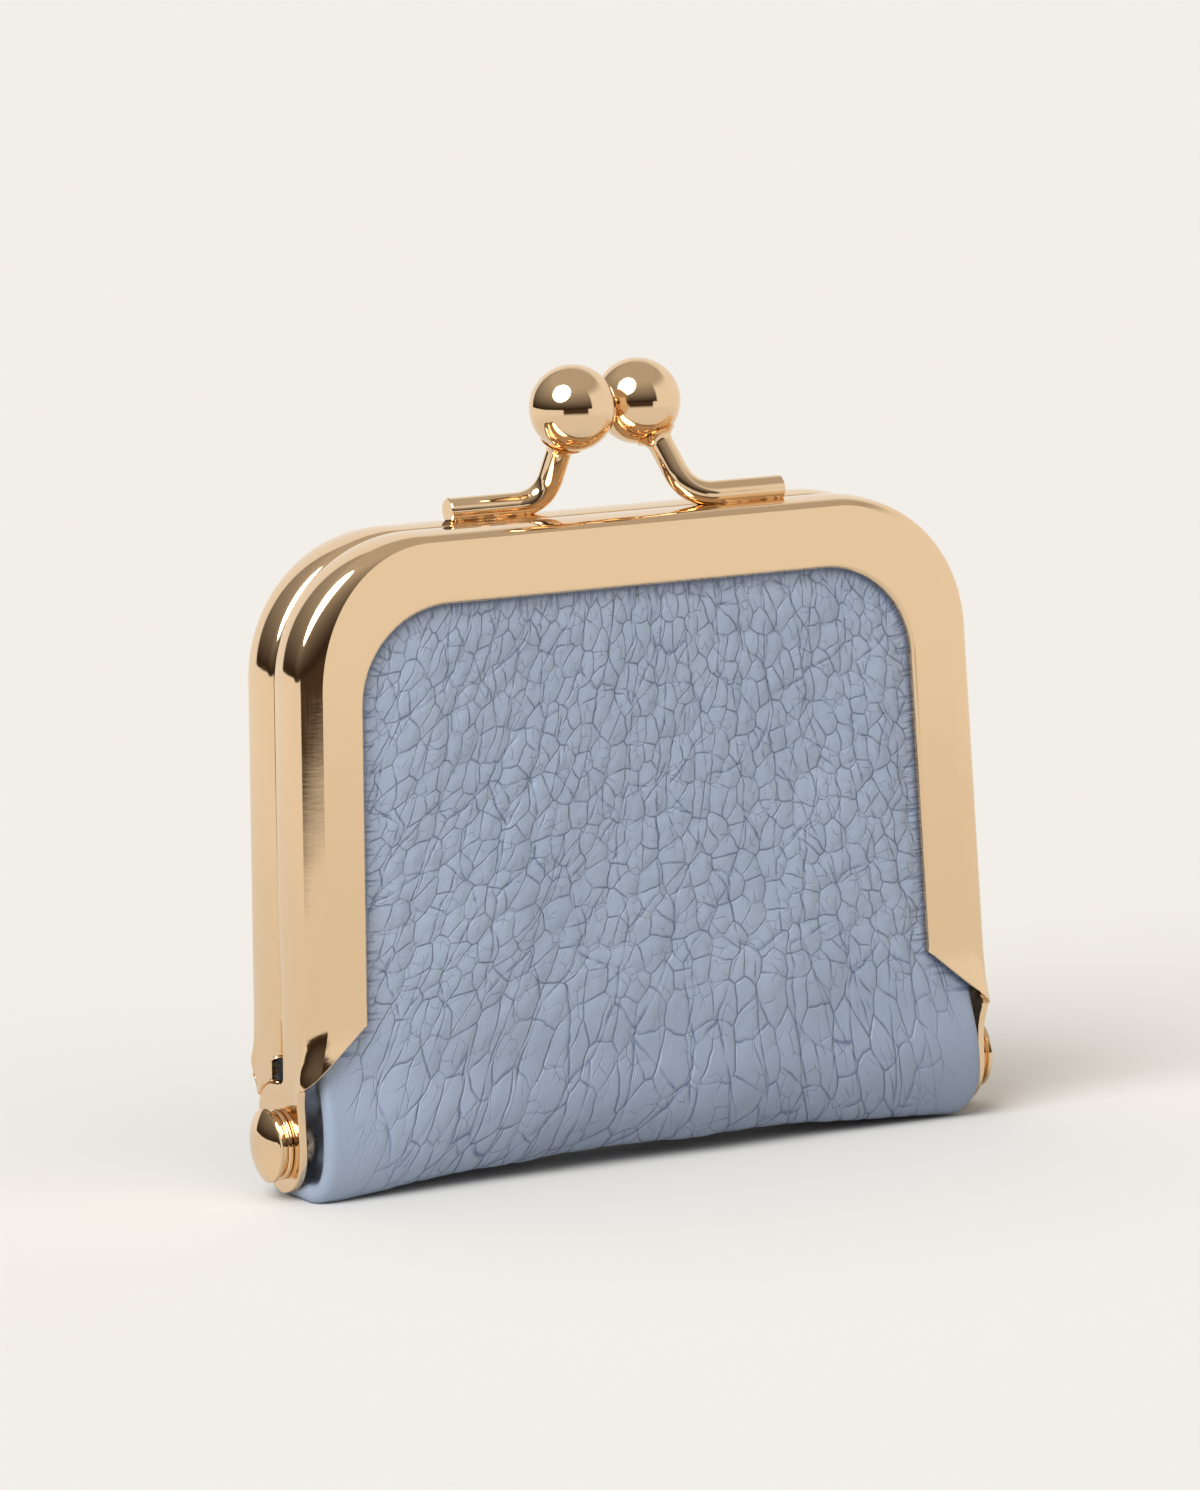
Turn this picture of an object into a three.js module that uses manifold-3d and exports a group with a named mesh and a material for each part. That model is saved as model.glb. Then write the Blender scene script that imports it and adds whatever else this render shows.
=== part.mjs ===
// Jewelry pouch: a small leather purse in a two-part metal frame that snaps shut with a kiss-lock clasp.
// Millimetres, +Z up, X across the pouch, the front at -Y. The origin is on the resting plane, under the middle.
import * as THREE from "three";
import { mergeVertices } from "three/addons/utils/BufferGeometryUtils.js";
import Module from "manifold-3d";

const wasm = await Module();
wasm.setup();

// Frame halves: each is a pressed channel, open towards the middle of the arch
const FRAME_TOP = 58.4;
const FRAME_HALF_WIDTH = 33.25;
const SIDE_FLARE = 0.032;
const OUTER_CORNER = 13;
const HALF_DEPTH = 6.1;
const SEAM = 0.3;
const SHEET = 0.8;
const RIM_ROUND = 1.5;
const FACE_FLANGE = 6.25;
const FACE_CORNER = 8.7;
const INNER_FLANGE = 4;
const CHAMFER_TOP = 15.8;
const CHAMFER_END = 10.7;

// Hinge: the front lug lies outside the back lug, and one rivet on each side holds both
const LUG_RADIUS = 4.2;
const LUG_FLOOR_GAP = 0.7;
const LUG_INSET = 0.25;
const SHOULDER_RISE = 4.4;
const SHOULDER_ROOM = 1.1;
const NOTCH_WIDTH = 3.2;
const NOTCH_HEIGHT = 2.3;
const SHANK_RADIUS = 1.25;
const HEAD_RADIUS = 3.2;
const HEAD_EDGE = 0.4;
const HEAD_DOME = 0.8;
const GROOVE_RADIUS = 2.2;
const GROOVE_WIDTH = 0.35;
const WASHER_RADIUS = 3;
const WASHER_THICKNESS = 0.4;
const TAIL_RADIUS = 2.3;
const TAIL_THICKNESS = 0.5;

// Clasp: a ball on a bent wire stands on each half and leans over the other half
const BALL_RADIUS = 3.9;
const BALL_RISE = 9.7;
const BALL_LEAN = 1.5;
const BALL_PASS = 0.3;
const CLASP_SHIFT = 0.25;
const WIRE_RADIUS = 1.15;
const WIRE_SEAT = 0.1;
const WIRE_SETBACK = 2.4;
const WIRE_RUN = 9.4;
const WIRE_BEND = 3;
const WIRE_REACH = 2.2;
const FRONT_ELBOW = 2.8;
const BACK_ELBOW = 1.4;

// Leather, boards, lining and the cord that wedges them in the channel
const LEATHER = 1;
const BOARD = 0.8;
const LINING = 0.4;
const CORD_DIAMETER = 1.4;
const FOLD_RISE = 1.1;
const FOLD_MIDDLE = 5.6;
const FOLD_BULGE = 1.4;
const FOLD_FOOT = 4;
const FOLD_CORNER = 2.5;
const GUSSET_TOP = 30;
const GUSSET_PLEAT = 4.5;
const GUSSET_WIDTH = 1;

// Room left between neighbours that don't share a flat face
const CLEARANCE = 0.3;

// Places worked out from the sizes above
const HINGE_Z = LUG_RADIUS + LUG_FLOOR_GAP;
const SHOULDER_Z = HINGE_Z + SHOULDER_RISE;
const NOTCH_FLOOR = SHOULDER_Z + SHOULDER_ROOM;
const NOTCH_TOP = NOTCH_FLOOR + NOTCH_HEIGHT;
const ARM_TOP = Math.max(NOTCH_TOP, CHAMFER_TOP) + SHEET;
const LUG_FACE = halfWidthAt(HINGE_Z) - LUG_INSET;
const BACK_LUG_FACE = LUG_FACE - SHEET - CLEARANCE;
const PANEL_FACE = HALF_DEPTH - SHEET;
const BOARD_FACE = PANEL_FACE - LEATHER;
const LINING_FACE = BOARD_FACE - BOARD;
const CAVITY_FACE = LINING_FACE - LINING;
const PANEL_INSET = RIM_ROUND + CLEARANCE;
const FOLD_TOP = CHAMFER_END + FOLD_RISE;
const PANEL_BOTTOM = FOLD_TOP + LEATHER;
const CHANNEL_FLOOR = SEAM / 2 + SHEET;
const FOLD_HALF_LENGTH = BACK_LUG_FACE - SHEET - CLEARANCE;
const GUSSET_X = BACK_LUG_FACE - SHEET - TAIL_THICKNESS - CLEARANCE - GUSSET_WIDTH / 2;
const GUSSET_HIGH_X = halfWidthAt(CHAMFER_TOP) - INNER_FLANGE - GUSSET_WIDTH;
const FOLD_LINING_HALF = GUSSET_X - GUSSET_PLEAT - GUSSET_WIDTH / 2 - CLEARANCE;

// Straight steps in a drawn curve
const ARCH_SEGMENTS = 7;

const gold = { color: 0xe6c697, roughness: 0.16, metalness: 1 };
const leather = { color: 0x94a8c6, roughness: 0.55, metalness: 0 };
const liningCloth = { color: 0x76879f, roughness: 0.9, metalness: 0 };
const greyBoard = { color: 0xb3a58d, roughness: 0.95, metalness: 0 };
const paper = { color: 0xd6c9b0, roughness: 0.95, metalness: 0 };

// Half-width of the frame's outer wall at a height: the sides spread a little towards the hinge.
function halfWidthAt(z) {
  return FRAME_HALF_WIDTH + SIDE_FLARE * (FRAME_TOP - z);
}

// A closed outline through corners [x, y, radius], each rounded by an arc of its own radius.
function roundedShape(corners) {
  const shape = new THREE.Shape();
  corners.forEach(([x, y, radius = 0], i) => {
    const corner = new THREE.Vector2(x, y);
    const before = corners[(i + corners.length - 1) % corners.length];
    const after = corners[(i + 1) % corners.length];
    const back = new THREE.Vector2(before[0] - x, before[1] - y).normalize();
    const ahead = new THREE.Vector2(after[0] - x, after[1] - y).normalize();
    const half = Math.acos(THREE.MathUtils.clamp(back.dot(ahead), -1, 1)) / 2;
    const reach = radius / Math.tan(half);
    const start = corner.clone().addScaledVector(back, reach);
    if (i === 0) shape.moveTo(start.x, start.y);
    else shape.lineTo(start.x, start.y);
    if (radius === 0) return;
    const inward = back.clone().add(ahead).normalize();
    const centre = corner.clone().addScaledVector(inward, radius / Math.sin(half));
    const end = corner.clone().addScaledVector(ahead, reach);
    const from = Math.atan2(start.y - centre.y, start.x - centre.x);
    const to = Math.atan2(end.y - centre.y, end.x - centre.x);
    const clockwise = back.x * ahead.y - back.y * ahead.x > 0;
    shape.absarc(centre.x, centre.y, radius, from, to, clockwise);
  });
  return shape;
}

// The frame's arch in the X-Z plane, set in from the outer wall, with straight sides down to a height.
function archShape(inset, corner, bottom) {
  const top = FRAME_TOP - inset;
  const foot = halfWidthAt(bottom) - inset;
  const shoulder = halfWidthAt(top) - inset;
  return roundedShape([
    [-foot, bottom],
    [foot, bottom],
    [shoulder, top, corner],
    [-shoulder, top, corner],
  ]);
}

// A slab of an X-Z outline between two depths in front of the seam, with its rims rounded by a radius.
function slab(shape, near, far, round = 0) {
  const options = { depth: far - near - 2 * round, curveSegments: ARCH_SEGMENTS, bevelEnabled: round > 0 };
  if (round > 0)
    Object.assign(options, { bevelThickness: round, bevelSize: round, bevelOffset: -round, bevelSegments: 3 });
  return new THREE.ExtrudeGeometry(shape, options).translate(0, 0, near + round).rotateX(Math.PI / 2);
}

// A slab of a Y-Z outline between two places across the pouch.
function crossSlab(shape, left, right) {
  const acrossX = new THREE.Matrix4().makeBasis(
    new THREE.Vector3(0, 1, 0),
    new THREE.Vector3(0, 0, 1),
    new THREE.Vector3(1, 0, 0),
  );
  const options = { depth: right - left, curveSegments: ARCH_SEGMENTS, bevelEnabled: false };
  return new THREE.ExtrudeGeometry(shape, options).translate(0, 0, left).applyMatrix4(acrossX);
}

// A closed geometry as a solid that can be joined and cut.
function solidOf(geometry) {
  const bare = geometry.clone();
  bare.deleteAttribute("normal");
  bare.deleteAttribute("uv");
  const merged = mergeVertices(bare, 1e-4);
  const vertProperties = merged.attributes.position.array;
  const triVerts = new Uint32Array(merged.index.array);
  return new wasm.Manifold(new wasm.Mesh({ numProp: 3, vertProperties, triVerts }));
}

// The geometry of a joined or cut solid.
function geometryOf(solid) {
  const mesh = solid.getMesh();
  const geometry = new THREE.BufferGeometry();
  geometry.setAttribute("position", new THREE.BufferAttribute(mesh.vertProperties, 3));
  geometry.setIndex(new THREE.BufferAttribute(mesh.triVerts, 1));
  return geometry;
}

function namedMesh(name, geometry, finish) {
  const mesh = new THREE.Mesh(geometry, new THREE.MeshStandardMaterial(finish));
  mesh.name = name;
  return mesh;
}

// A thin strip in the X-Z plane that follows the side wall and steps in to the lug's plane.
function armStrip(side, lugFace) {
  const outline = [
    [halfWidthAt(ARM_TOP), ARM_TOP],
    [halfWidthAt(NOTCH_TOP), NOTCH_TOP],
    [lugFace, SHOULDER_Z + SHOULDER_ROOM / 2],
    [lugFace, 0],
  ];
  const inner = outline.map(([x, z]) => [x - SHEET, z]).reverse();
  return roundedShape([...outline, ...inner].map(([x, z]) => [side * x, z]));
}

// The arm's outline seen from the side: the wall's lower end narrows to the neck and ends in a round lug.
// The front arm keeps the wall to the seam, and the back arm has a notch there for the front lug's shoulder.
function armOutline(notched) {
  const front = -PANEL_FACE;
  const seam = -SEAM / 2;
  const lugBottom = HINGE_Z - LUG_RADIUS;
  const neck = HINGE_Z + LUG_RADIUS * 0.7;
  const seamSide = notched
    ? [
        [seam, NOTCH_TOP],
        [-NOTCH_WIDTH, NOTCH_TOP],
        [-NOTCH_WIDTH, NOTCH_FLOOR, SHEET],
        [LUG_RADIUS, SHOULDER_Z - SHEET, SHEET],
      ]
    : [
        [seam, NOTCH_TOP - SHEET, SHEET],
        [LUG_RADIUS, SHOULDER_Z - SHEET, SHEET],
      ];
  return roundedShape([
    [seam, ARM_TOP],
    ...seamSide,
    [LUG_RADIUS, lugBottom, LUG_RADIUS],
    [-LUG_RADIUS, lugBottom, LUG_RADIUS],
    [-LUG_RADIUS, neck, SHEET],
    [front, CHAMFER_END, SHEET],
    [front, ARM_TOP],
  ]);
}

// One half of the frame, in front of the seam: channel, chamfered flange ends, arms and drilled lugs.
function frameHalf(name, lugFace, notched) {
  const below = -FRAME_TOP;
  const beyond = FRAME_TOP;
  const outside = archShape(0, OUTER_CORNER, below);
  const hollow = archShape(SHEET, OUTER_CORNER - SHEET, below);
  const window = archShape(FACE_FLANGE, FACE_CORNER, below);
  const innerWindow = archShape(INNER_FLANGE, OUTER_CORNER - INNER_FLANGE, below);
  let shell = solidOf(slab(outside, SEAM / 2, HALF_DEPTH, RIM_ROUND))
    .subtract(solidOf(slab(hollow, CHANNEL_FLOOR, PANEL_FACE, Math.max(RIM_ROUND - SHEET, 0))))
    .subtract(solidOf(slab(window, HALF_DEPTH / 2, HALF_DEPTH + SHEET)))
    .subtract(solidOf(slab(innerWindow, -SHEET, HALF_DEPTH / 2)));

  // Flange ends cut along a slope, from the window's edge down to the outer wall
  const slopeTop = halfWidthAt(CHAMFER_TOP) - FACE_FLANGE;
  const slopeRate = (CHAMFER_TOP - CHAMFER_END) / (halfWidthAt(CHAMFER_END) - slopeTop);
  const slopeFar = CHAMFER_TOP - slopeRate * (beyond - slopeTop);
  const offcut = roundedShape([
    [-beyond, below * 2],
    [beyond, below * 2],
    [beyond, slopeFar],
    [slopeTop, CHAMFER_TOP],
    [-slopeTop, CHAMFER_TOP],
    [-beyond, slopeFar],
  ]);
  shell = shell.subtract(solidOf(slab(offcut, -SHEET, HALF_DEPTH + SHEET)));

  for (const side of [-1, 1]) {
    if (notched) {
      const notch = roundedShape([
        [side * (lugFace - INNER_FLANGE), 0],
        [side * beyond, 0],
        [side * beyond, NOTCH_TOP],
        [side * (lugFace - INNER_FLANGE), NOTCH_TOP],
      ]);
      shell = shell.subtract(solidOf(slab(notch, -SHEET, NOTCH_WIDTH)));
    }
    const strip = solidOf(slab(armStrip(side, lugFace), -HALF_DEPTH, HALF_DEPTH));
    const bore = new THREE.CylinderGeometry(SHANK_RADIUS + CLEARANCE, SHANK_RADIUS + CLEARANCE, beyond, 24);
    bore.rotateZ(Math.PI / 2).translate(side * lugFace, 0, HINGE_Z);
    const arm = strip
      .intersect(solidOf(crossSlab(armOutline(notched), -beyond, beyond)))
      .subtract(solidOf(bore));
    shell = shell.add(arm);
  }
  return namedMesh(name, geometryOf(shell), gold);
}

// The wire lies on the frame's top with a flat seat, bends up and ends inside the ball, for the front half.
function claspPieces(label, shift, elbowReach) {
  const ballX = BALL_RADIUS + BALL_PASS / 2 + shift;
  const ball = new THREE.Vector3(ballX, BALL_LEAN, FRAME_TOP + BALL_RISE);
  const lowZ = FRAME_TOP + WIRE_RADIUS - WIRE_SEAT;
  const elbow = new THREE.Vector3(ballX + elbowReach, -WIRE_SETBACK, lowZ);
  const end = elbow.clone().add(new THREE.Vector3(WIRE_RUN, 0, 0));
  const rise = ball.clone().sub(elbow).normalize();
  const path = new THREE.CurvePath();
  const runEnd = elbow.clone().add(new THREE.Vector3(WIRE_BEND, 0, 0));
  const riseStart = elbow.clone().addScaledVector(rise, WIRE_BEND);
  const tip = ball.clone().addScaledVector(rise, WIRE_REACH - BALL_RADIUS);
  path.add(new THREE.LineCurve3(end, runEnd));
  path.add(new THREE.QuadraticBezierCurve3(runEnd, elbow, riseStart));
  path.add(new THREE.LineCurve3(riseStart, tip));
  const section = new THREE.Shape().absarc(0, 0, WIRE_RADIUS, 0, 2 * Math.PI);
  const wire = new THREE.ExtrudeGeometry(section, { extrudePath: path, steps: 20, curveSegments: 6 });
  const under = new THREE.BoxGeometry(FRAME_TOP, FRAME_TOP, FRAME_TOP).translate(0, 0, FRAME_TOP / 2);
  const seated = solidOf(wire).subtract(solidOf(under));

  const bore = new THREE.CylinderGeometry(WIRE_RADIUS + CLEARANCE, WIRE_RADIUS + CLEARANCE, BALL_RADIUS, 16);
  bore.applyQuaternion(new THREE.Quaternion().setFromUnitVectors(new THREE.Vector3(0, 1, 0), rise));
  const boreMiddle = tip.clone().addScaledVector(rise, CLEARANCE - BALL_RADIUS / 2);
  bore.translate(boreMiddle.x, boreMiddle.y, boreMiddle.z);
  const sphere = new THREE.SphereGeometry(BALL_RADIUS, 24, 16).translate(ball.x, ball.y, ball.z);
  const drilled = solidOf(sphere).subtract(solidOf(bore));
  return [
    namedMesh(`${label}_clasp_stem`, geometryOf(seated), gold),
    namedMesh(`${label}_clasp_ball`, geometryOf(drilled), gold),
  ];
}

// The wedge cord follows the channel behind the lining, from one flange end round the arch to the other.
function channelCord(name) {
  const radius = CORD_DIAMETER / 2;
  const inset = SHEET + CLEARANCE + radius;
  const depth = (CAVITY_FACE + CHANNEL_FLOOR) / 2;
  const arch = archShape(inset, OUTER_CORNER - inset, CHAMFER_TOP);
  const [lowLeft, ...round] = arch.getPoints(ARCH_SEGMENTS);
  const route = [...round.filter((p) => p.distanceTo(lowLeft) > CLEARANCE), lowLeft];
  const path = new THREE.CurvePath();
  const places = route.map((p) => new THREE.Vector3(p.x, -depth, p.y));
  places.slice(1).forEach((place, i) => path.add(new THREE.LineCurve3(places[i], place)));
  const section = new THREE.Shape().absarc(0, 0, radius, 0, 2 * Math.PI);
  const tube = new THREE.ExtrudeGeometry(section, { extrudePath: path, steps: 48, curveSegments: 4 });
  return namedMesh(name, tube, paper);
}

// The flat pieces that the channel holds, from the leather at the face to the lining inside.
function panels(label) {
  const corner = OUTER_CORNER - PANEL_INSET;
  const leatherOutline = archShape(PANEL_INSET, corner, FOLD_TOP);
  const innerOutline = archShape(PANEL_INSET, corner, PANEL_BOTTOM);
  return [
    namedMesh(`${label}_leather_panel`, slab(leatherOutline, BOARD_FACE, PANEL_FACE), leather),
    namedMesh(`${label}_stiffener`, slab(innerOutline, LINING_FACE, BOARD_FACE), greyBoard),
    namedMesh(`${label}_lining`, slab(innerOutline, CAVITY_FACE, LINING_FACE), liningCloth),
  ];
}

// One half of the pouch. The back half is the same construction turned round, with its lugs set in.
function pouchHalf(label, lugFace, notched, claspShift, elbowReach) {
  const half = new THREE.Group();
  half.add(frameHalf(`${label}_frame`, lugFace, notched));
  half.add(...claspPieces(label, claspShift, elbowReach));
  half.add(...panels(label));
  half.add(channelCord(`${label}_channel_cord`));
  return half;
}

// A rivet and its washer, turned about the hinge axis: head, groove, shank and the tail formed inside.
function hingeRivet(side) {
  const label = side < 0 ? "left" : "right";
  const washerFace = LUG_FACE + WASHER_THICKNESS;
  const headFace = washerFace + GROOVE_WIDTH;
  const rim = headFace + HEAD_EDGE;
  const tailFace = BACK_LUG_FACE - SHEET;
  const profile = [
    [0, tailFace - TAIL_THICKNESS],
    [TAIL_RADIUS, tailFace - TAIL_THICKNESS],
    [TAIL_RADIUS, tailFace],
    [SHANK_RADIUS, tailFace],
    [SHANK_RADIUS, washerFace],
    [GROOVE_RADIUS, washerFace],
    [GROOVE_RADIUS, headFace],
    [HEAD_RADIUS, headFace],
  ].map(([r, x]) => new THREE.Vector2(r, x));
  const domeSteps = 5;
  for (let i = 0; i <= domeSteps; i++) {
    const angle = (i / domeSteps) * (Math.PI / 2);
    const radius = i === domeSteps ? 0 : HEAD_RADIUS * Math.cos(angle);
    profile.push(new THREE.Vector2(radius, rim + HEAD_DOME * Math.sin(angle)));
  }
  const hole = SHANK_RADIUS + CLEARANCE;
  const ring = [
    [hole, LUG_FACE],
    [WASHER_RADIUS, LUG_FACE],
    [WASHER_RADIUS, washerFace],
    [hole, washerFace],
    [hole, LUG_FACE],
  ].map(([r, x]) => new THREE.Vector2(r, x));
  const turned = new THREE.Group();
  turned.position.z = HINGE_Z;
  turned.rotation.z = (-side * Math.PI) / 2;
  turned.add(namedMesh(`${label}_hinge_rivet`, new THREE.LatheGeometry(profile, 28), gold));
  turned.add(namedMesh(`${label}_hinge_washer`, new THREE.LatheGeometry(ring, 28), gold));
  return turned;
}

// One side of a sheet that folds under the hinge, as a curve from the front (side -1) or back (side 1) edge.
function traceFold(shape, inset, side) {
  const panel = side * (PANEL_FACE - inset);
  const bulge = side * (PANEL_FACE + FOLD_BULGE - inset);
  const foot = side * FOLD_FOOT;
  const ease = (FOLD_TOP - FOLD_MIDDLE) / 2.3;
  const drop = FOLD_MIDDLE + (inset - FOLD_MIDDLE) * 0.6;
  const sweep = foot + (bulge - foot) * 0.7;
  shape.bezierCurveTo(panel, FOLD_TOP - ease, bulge, FOLD_MIDDLE + ease, bulge, FOLD_MIDDLE);
  shape.bezierCurveTo(bulge, drop, sweep, inset, foot, inset);
  shape.lineTo(-foot, inset);
  shape.bezierCurveTo(-sweep, inset, -bulge, drop, -bulge, FOLD_MIDDLE);
  shape.bezierCurveTo(-bulge, FOLD_MIDDLE + ease, -panel, FOLD_TOP - ease, -panel, FOLD_TOP);
}

// A sheet folded under the hinge, between two insets from the leather's outer face, across the pouch.
function foldedSheet(name, outer, inner, halfLength, finish) {
  const shape = new THREE.Shape();
  shape.moveTo(-(PANEL_FACE - outer), FOLD_TOP);
  traceFold(shape, outer, -1);
  shape.lineTo(PANEL_FACE - inner, FOLD_TOP);
  traceFold(shape, inner, 1);
  shape.closePath();
  const sheet = solidOf(crossSlab(shape, -halfLength, halfLength));
  const outline = roundedShape([
    [-halfLength, outer, FOLD_CORNER],
    [halfLength, outer, FOLD_CORNER],
    [halfLength, FOLD_TOP],
    [-halfLength, FOLD_TOP],
  ]);
  const trimmed = sheet.intersect(solidOf(slab(outline, -HALF_DEPTH * 2, HALF_DEPTH * 2)));
  return namedMesh(name, geometryOf(trimmed), finish);
}

// A closed solid between two grids of points with the same rows and columns.
function solidBetween(near, far) {
  const rows = near.length;
  const columns = near[0].length;
  const points = [...near.flat(), ...far.flat()];
  const at = (layer, row, column) => layer * rows * columns + row * columns + column;
  const triangles = [];
  const quad = (a, b, c, d) => triangles.push(a, b, c, a, c, d);
  for (let r = 0; r + 1 < rows; r++) {
    for (let c = 0; c + 1 < columns; c++) {
      quad(at(0, r, c), at(0, r, c + 1), at(0, r + 1, c + 1), at(0, r + 1, c));
      quad(at(1, r, c), at(1, r + 1, c), at(1, r + 1, c + 1), at(1, r, c + 1));
    }
    quad(at(0, r, 0), at(0, r + 1, 0), at(1, r + 1, 0), at(1, r, 0));
    const last = columns - 1;
    quad(at(0, r, last), at(1, r, last), at(1, r + 1, last), at(0, r + 1, last));
  }
  for (let c = 0; c + 1 < columns; c++) {
    quad(at(0, 0, c), at(1, 0, c), at(1, 0, c + 1), at(0, 0, c + 1));
    const last = rows - 1;
    quad(at(0, last, c), at(0, last, c + 1), at(1, last, c + 1), at(1, last, c));
  }
  const geometry = new THREE.BufferGeometry().setFromPoints(points);
  geometry.setIndex(triangles);
  return geometry;
}

// A pleated strip between the front and back panels: wide in the fold, narrow between the frame's halves.
function gusset(name, side) {
  const low = { end: GUSSET_X, spread: BOARD_FACE - CLEARANCE, pleat: GUSSET_PLEAT };
  const high = { end: GUSSET_HIGH_X, spread: CAVITY_FACE - CLEARANCE, pleat: GUSSET_PLEAT };
  const tip = { end: GUSSET_HIGH_X, spread: CAVITY_FACE - CLEARANCE, pleat: GUSSET_PLEAT / 3 };
  const rows = [
    [LEATHER + CLEARANCE, low],
    [FOLD_MIDDLE, low],
    [PANEL_BOTTOM - CLEARANCE, high],
    [GUSSET_TOP, tip],
  ];
  const pleatSteps = [-1, -0.5, 0, 0.5, 1];
  const grid = (shift) =>
    rows.map(([z, { end, spread, pleat }]) =>
      pleatSteps.map((t) => new THREE.Vector3(end - pleat * (1 - Math.abs(t)) + shift, spread * t, z)),
    );
  const mesh = namedMesh(name, solidBetween(grid(GUSSET_WIDTH / 2), grid(-GUSSET_WIDTH / 2)), leather);
  if (side < 0) mesh.rotation.z = Math.PI;
  return mesh;
}

const pouch = new THREE.Group();
pouch.add(pouchHalf("front", LUG_FACE, false, CLASP_SHIFT, FRONT_ELBOW));
const backHalf = pouchHalf("back", BACK_LUG_FACE, true, -CLASP_SHIFT, BACK_ELBOW);
backHalf.rotation.z = Math.PI;
pouch.add(backHalf);
pouch.add(hingeRivet(-1), hingeRivet(1));
pouch.add(foldedSheet("base_leather", 0, LEATHER, FOLD_HALF_LENGTH, leather));
const liningInset = LEATHER + CLEARANCE;
pouch.add(foldedSheet("base_lining", liningInset, liningInset + LINING, FOLD_LINING_HALF, liningCloth));
pouch.add(gusset("left_gusset", -1), gusset("right_gusset", 1));

export default pouch;
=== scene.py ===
import bmesh
import bpy
import numpy as np
from mathutils import Matrix


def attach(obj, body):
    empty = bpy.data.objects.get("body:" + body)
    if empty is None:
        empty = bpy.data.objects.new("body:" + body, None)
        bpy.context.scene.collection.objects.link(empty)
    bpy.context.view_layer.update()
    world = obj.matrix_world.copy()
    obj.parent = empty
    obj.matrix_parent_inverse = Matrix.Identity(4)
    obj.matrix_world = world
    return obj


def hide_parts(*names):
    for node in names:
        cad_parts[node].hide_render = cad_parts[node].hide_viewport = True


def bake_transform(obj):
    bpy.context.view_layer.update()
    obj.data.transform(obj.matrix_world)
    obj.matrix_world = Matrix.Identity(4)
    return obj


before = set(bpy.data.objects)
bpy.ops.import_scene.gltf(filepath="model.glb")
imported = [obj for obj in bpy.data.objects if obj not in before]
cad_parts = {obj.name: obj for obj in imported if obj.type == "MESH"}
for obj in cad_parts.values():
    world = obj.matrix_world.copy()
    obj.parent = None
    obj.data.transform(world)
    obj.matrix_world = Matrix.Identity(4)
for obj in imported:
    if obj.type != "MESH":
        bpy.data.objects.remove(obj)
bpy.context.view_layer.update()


# Frame halves: each is pressed from one strip of brass sheet into a channel, bent round an arch and gold plated. A
# wide flange shows on the face, a narrow one lies at the seam, and the sides run down into arms with round lugs.
# Lengths of shapes are in millimetres, and become metres where a mesh is made.
FRAME_TOP = 58.4
TOP_HALF_WIDTH = 33.25
SIDE_SPREAD = 0.032
SHEET = 0.65
FLANGE = 6.25
FLANGE_FOOT = 15.9
SEAM_FLANGE = 4.0
SEAM_BEND = 0.9
SEAM_CLEARANCE = 0.04
SEAM_GAP = 0.85
WALL = 3.96
WALL_FOOT = 10.3
WALL_LEAN = 0.17  # radians
WALL_CORNER = 13.0
WINDOW_CORNER = 8.7
RIM_DEPTH = 1.2
RIM_AT_TOP = 0.65
RIM_AT_SIDE = 2.2
RIM_AT_LUG = 1.5
BEVEL = 0.4
BEVEL_ARC = 0.25
BEVEL_ROUND = 0.186
BEVEL_SLOPE = 1.11
HINGE_Z = 4.9
LUG_RADIUS = 4.35
LUG_SHOULDER = 7.5
LUG_TOP = 10.35
ARM_FOOT = 7.0
ARM_REACH = 5.05
ARM_FLARE_FROM = 16.5
FRONT_LUG = 34.8
BACK_LUG = 34.1
BACK_LUG_SHARE = 0.67
NOTCH_FOOT = 10.55
NOTCH_SLOPE = 0.6
NOTCH_TOP = 12.65
NOTCH_REACH = 1.55
EDGE_ROUND = 0.12


def linear(hex_colour):
    """Linear red, green, blue and alpha of an sRGB hex colour, by the sRGB curve."""
    share = np.array([int(hex_colour[i:i + 2], 16) for i in (1, 3, 5)]) / 255
    return (*np.where(share <= 0.04045, share / 12.92, ((share + 0.055) / 1.055) ** 2.4), 1.0)


def node(tree, kind, wires={}, **settings):
    """Adds one node to a tree with its settings, and gives each input a value or a link from a socket."""
    made = tree.nodes.new(kind)
    for name, value in settings.items():
        setattr(made, name, value)
    for place, value in wires.items():
        if isinstance(value, bpy.types.NodeSocket):
            tree.links.new(value, made.inputs[place])
        else:
            made.inputs[place].default_value = value
    return made


def new_material(name):
    """A material that is made of nodes, its node tree and the node in it that shades the surface."""
    made = bpy.data.materials.new(name)
    made.use_nodes = True
    return made, made.node_tree, made.node_tree.nodes["Principled BSDF"]


# Pale gold plate on polished brass: a near mirror, with a slow waviness from hand polishing,
# faint wipe marks that dull it a little, and the warm tint that gold gives to what it mirrors.
gold_plate, tree, surface = new_material("polished_gold_plate")
surface.inputs["Base Color"].default_value = linear("#F1D3AD")
surface.inputs["Metallic"].default_value = 1.0
where = node(tree, "ShaderNodeTexCoord").outputs["Object"]
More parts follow.
